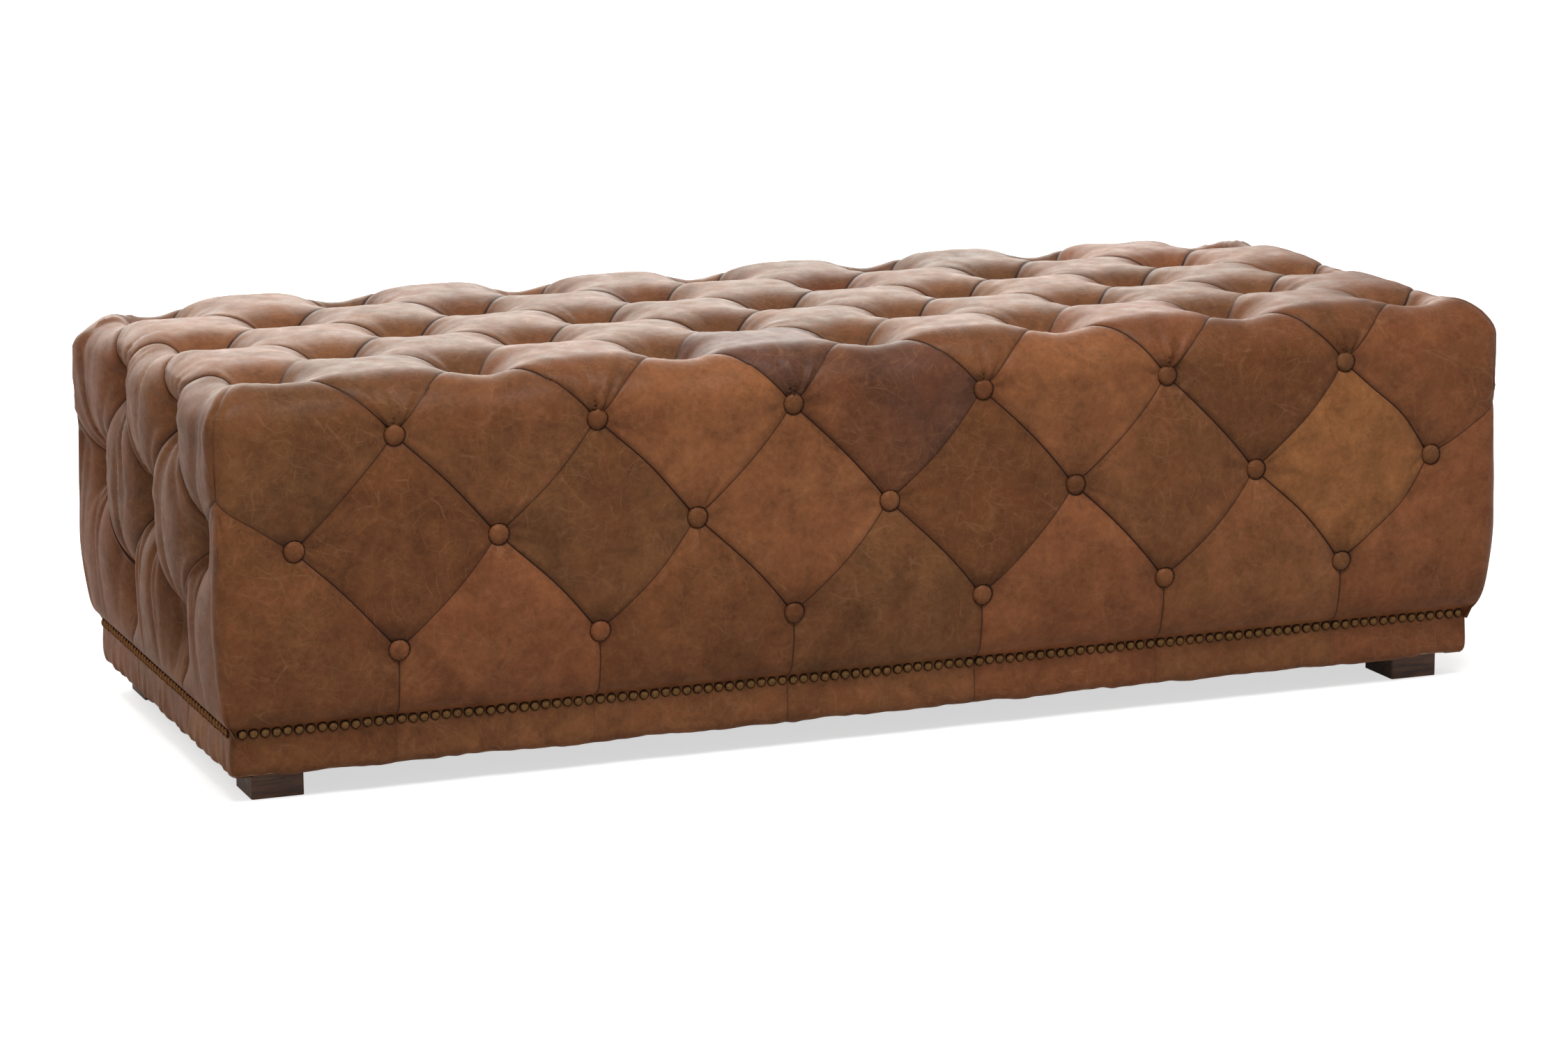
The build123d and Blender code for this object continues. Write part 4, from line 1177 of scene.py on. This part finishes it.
for name, node in frame["nodes"].items():
    node.data.materials.clear()
    node.data.materials.append(materials[slots[name]])
    if name.endswith("_foot"):
        bevel = node.modifiers.new("worn", "BEVEL")
        bevel.width = FOOT_WEAR
        bevel.segments = 3
        bevel.limit_method = "ANGLE"

# Each visual piece stands for its solids and rides on the one body
for obj, nodes, name in (
    (cover_obj, [side + "_cover" for side in SIDES + ("top",)], "tufted_leather"),
    (button_obj, [side + "_buttons" for side in SIDES + ("top",)], "button_leather"),
    (nail_obj, [side + "_nails" for side in SIDES], "antique_brass"),
    (band_obj, [side + "_band" for side in SIDES] + ["corner_bands"], "band_leather"),
):
    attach(obj, "root")
    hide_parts(*nodes)

# Stage: a pale floor that shows white far from the object and keeps its shadow
FLOOR_SIZE = 60
FLOOR_NEAR = 1.2
FLOOR_FAR = 6.0
WHITE = (1.0, 1.0, 1.0)


def floor_material():
    n = material("floor")
    at = n.coords()
    tint = n.grey(n.ramp(n.noise(at, 0.8, 2.0), 0.3, 0.7, 0.61, 0.64))
    path = n.add("ShaderNodeLightPath").outputs
    away = n.made("ShaderNodeVectorMath", {0: at}, operation="LENGTH").outputs["Value"]
    straight = n.math("MULTIPLY", path["Is Camera Ray"], n.ramp(away, FLOOR_NEAR, FLOOR_FAR, 0.64, 1.0))
    mirrored = n.math("MAXIMUM", path["Is Glossy Ray"], path["Is Transmission Ray"])
    mirrored = n.math("MULTIPLY", mirrored, n.ramp(away, FLOOR_NEAR, FLOOR_FAR, 0.10, 1.0))
    diffuse = n.made("ShaderNodeBsdfDiffuse", {"Color": tint}).outputs[0]
    strength = n.math("MAXIMUM", straight, mirrored)
    glow = n.made("ShaderNodeEmission", {"Color": WHITE, "Strength": strength}).outputs[0]
    return n.show(n.made("ShaderNodeAddShader", {0: diffuse, 1: glow}))


bpy.ops.mesh.primitive_plane_add(size=FLOOR_SIZE, location=(0, 0, 0))
floor = bpy.context.object
floor.name = "floor"
floor.data.materials.append(floor_material())

# Soft light all round, and white behind the object and in its reflections
WORLD_LIGHT = 0.24
world = bpy.data.worlds.new("studio")
bpy.context.scene.world = world
w = Nodes(world, "ShaderNodeOutputWorld")
path = w.add("ShaderNodeLightPath").outputs
seen = w.math("MAXIMUM", path["Is Camera Ray"], path["Is Glossy Ray"])
seen = w.math("MAXIMUM", seen, path["Is Transmission Ray"])
lit = w.made("ShaderNodeBackground", {"Color": WHITE, "Strength": WORLD_LIGHT}).outputs[0]
white = w.made("ShaderNodeBackground", {"Color": WHITE, "Strength": 1.0}).outputs[0]
w.show(w.made("ShaderNodeMixShader", {0: seen, 1: lit, 2: white}))


def softbox(name, at, target, size, power, colour=WHITE):
    data = bpy.data.lights.new(name, "AREA")
    data.shape = "RECTANGLE"
    data.size, data.size_y = size
    data.energy = power
    data.color = colour
    obj = bpy.data.objects.new(name, data)
    bpy.context.scene.collection.objects.link(obj)
    obj.location = at
    obj.rotation_euler = (Vector(target) - Vector(at)).to_track_quat("-Z", "Y").to_euler()


softbox("overhead", (0.3, 0.2, 3.2), (0, 0, 0.4), (4.5, 2.5), 10)
softbox("back", (-0.1, 4.6, 2.6), (0, 0, 0.45), (7.0, 3.8), 355, (1.0, 0.985, 0.92))
softbox("front", (-0.6, -2.4, 4.0), (0, 0, 0.3), (2.4, 1.8), 190)
softbox("left", (-3.0, 2.4, 2.6), (-0.7, 0, 0.35), (1.2, 1.2), 16)

# Camera at the front left, a little above the object
CAMERA_AT = (-1.8380, -4.7236, 1.2255)
CAMERA_YAW = math.radians(21.279)
CAMERA_DOWN = math.radians(11.564)
CAMERA_ROLL = math.radians(-0.509)
CAMERA_LENS = 103.02
CAMERA_SENSOR = 36.0
CAMERA_FAR = 200
level = math.cos(CAMERA_DOWN)
forward = Vector((math.sin(CAMERA_YAW) * level, math.cos(CAMERA_YAW) * level, -math.sin(CAMERA_DOWN)))
right = Vector((math.cos(CAMERA_YAW), -math.sin(CAMERA_YAW), 0))
up = right.cross(forward)
rolled_right = right * math.cos(CAMERA_ROLL) + up * math.sin(CAMERA_ROLL)
rolled_up = up * math.cos(CAMERA_ROLL) - right * math.sin(CAMERA_ROLL)
camera_data = bpy.data.cameras.new("camera")
camera_data.sensor_width = CAMERA_SENSOR
camera_data.lens = CAMERA_LENS
camera_data.clip_end = CAMERA_FAR
camera = bpy.data.objects.new("camera", camera_data)
bpy.context.scene.collection.objects.link(camera)
rows = [(rolled_right[k], rolled_up[k], -forward[k], CAMERA_AT[k]) for k in range(3)]
camera.matrix_world = Matrix(rows + [(0, 0, 0, 1)])
bpy.context.scene.camera = camera
bpy.context.scene.view_settings.view_transform = "Standard"
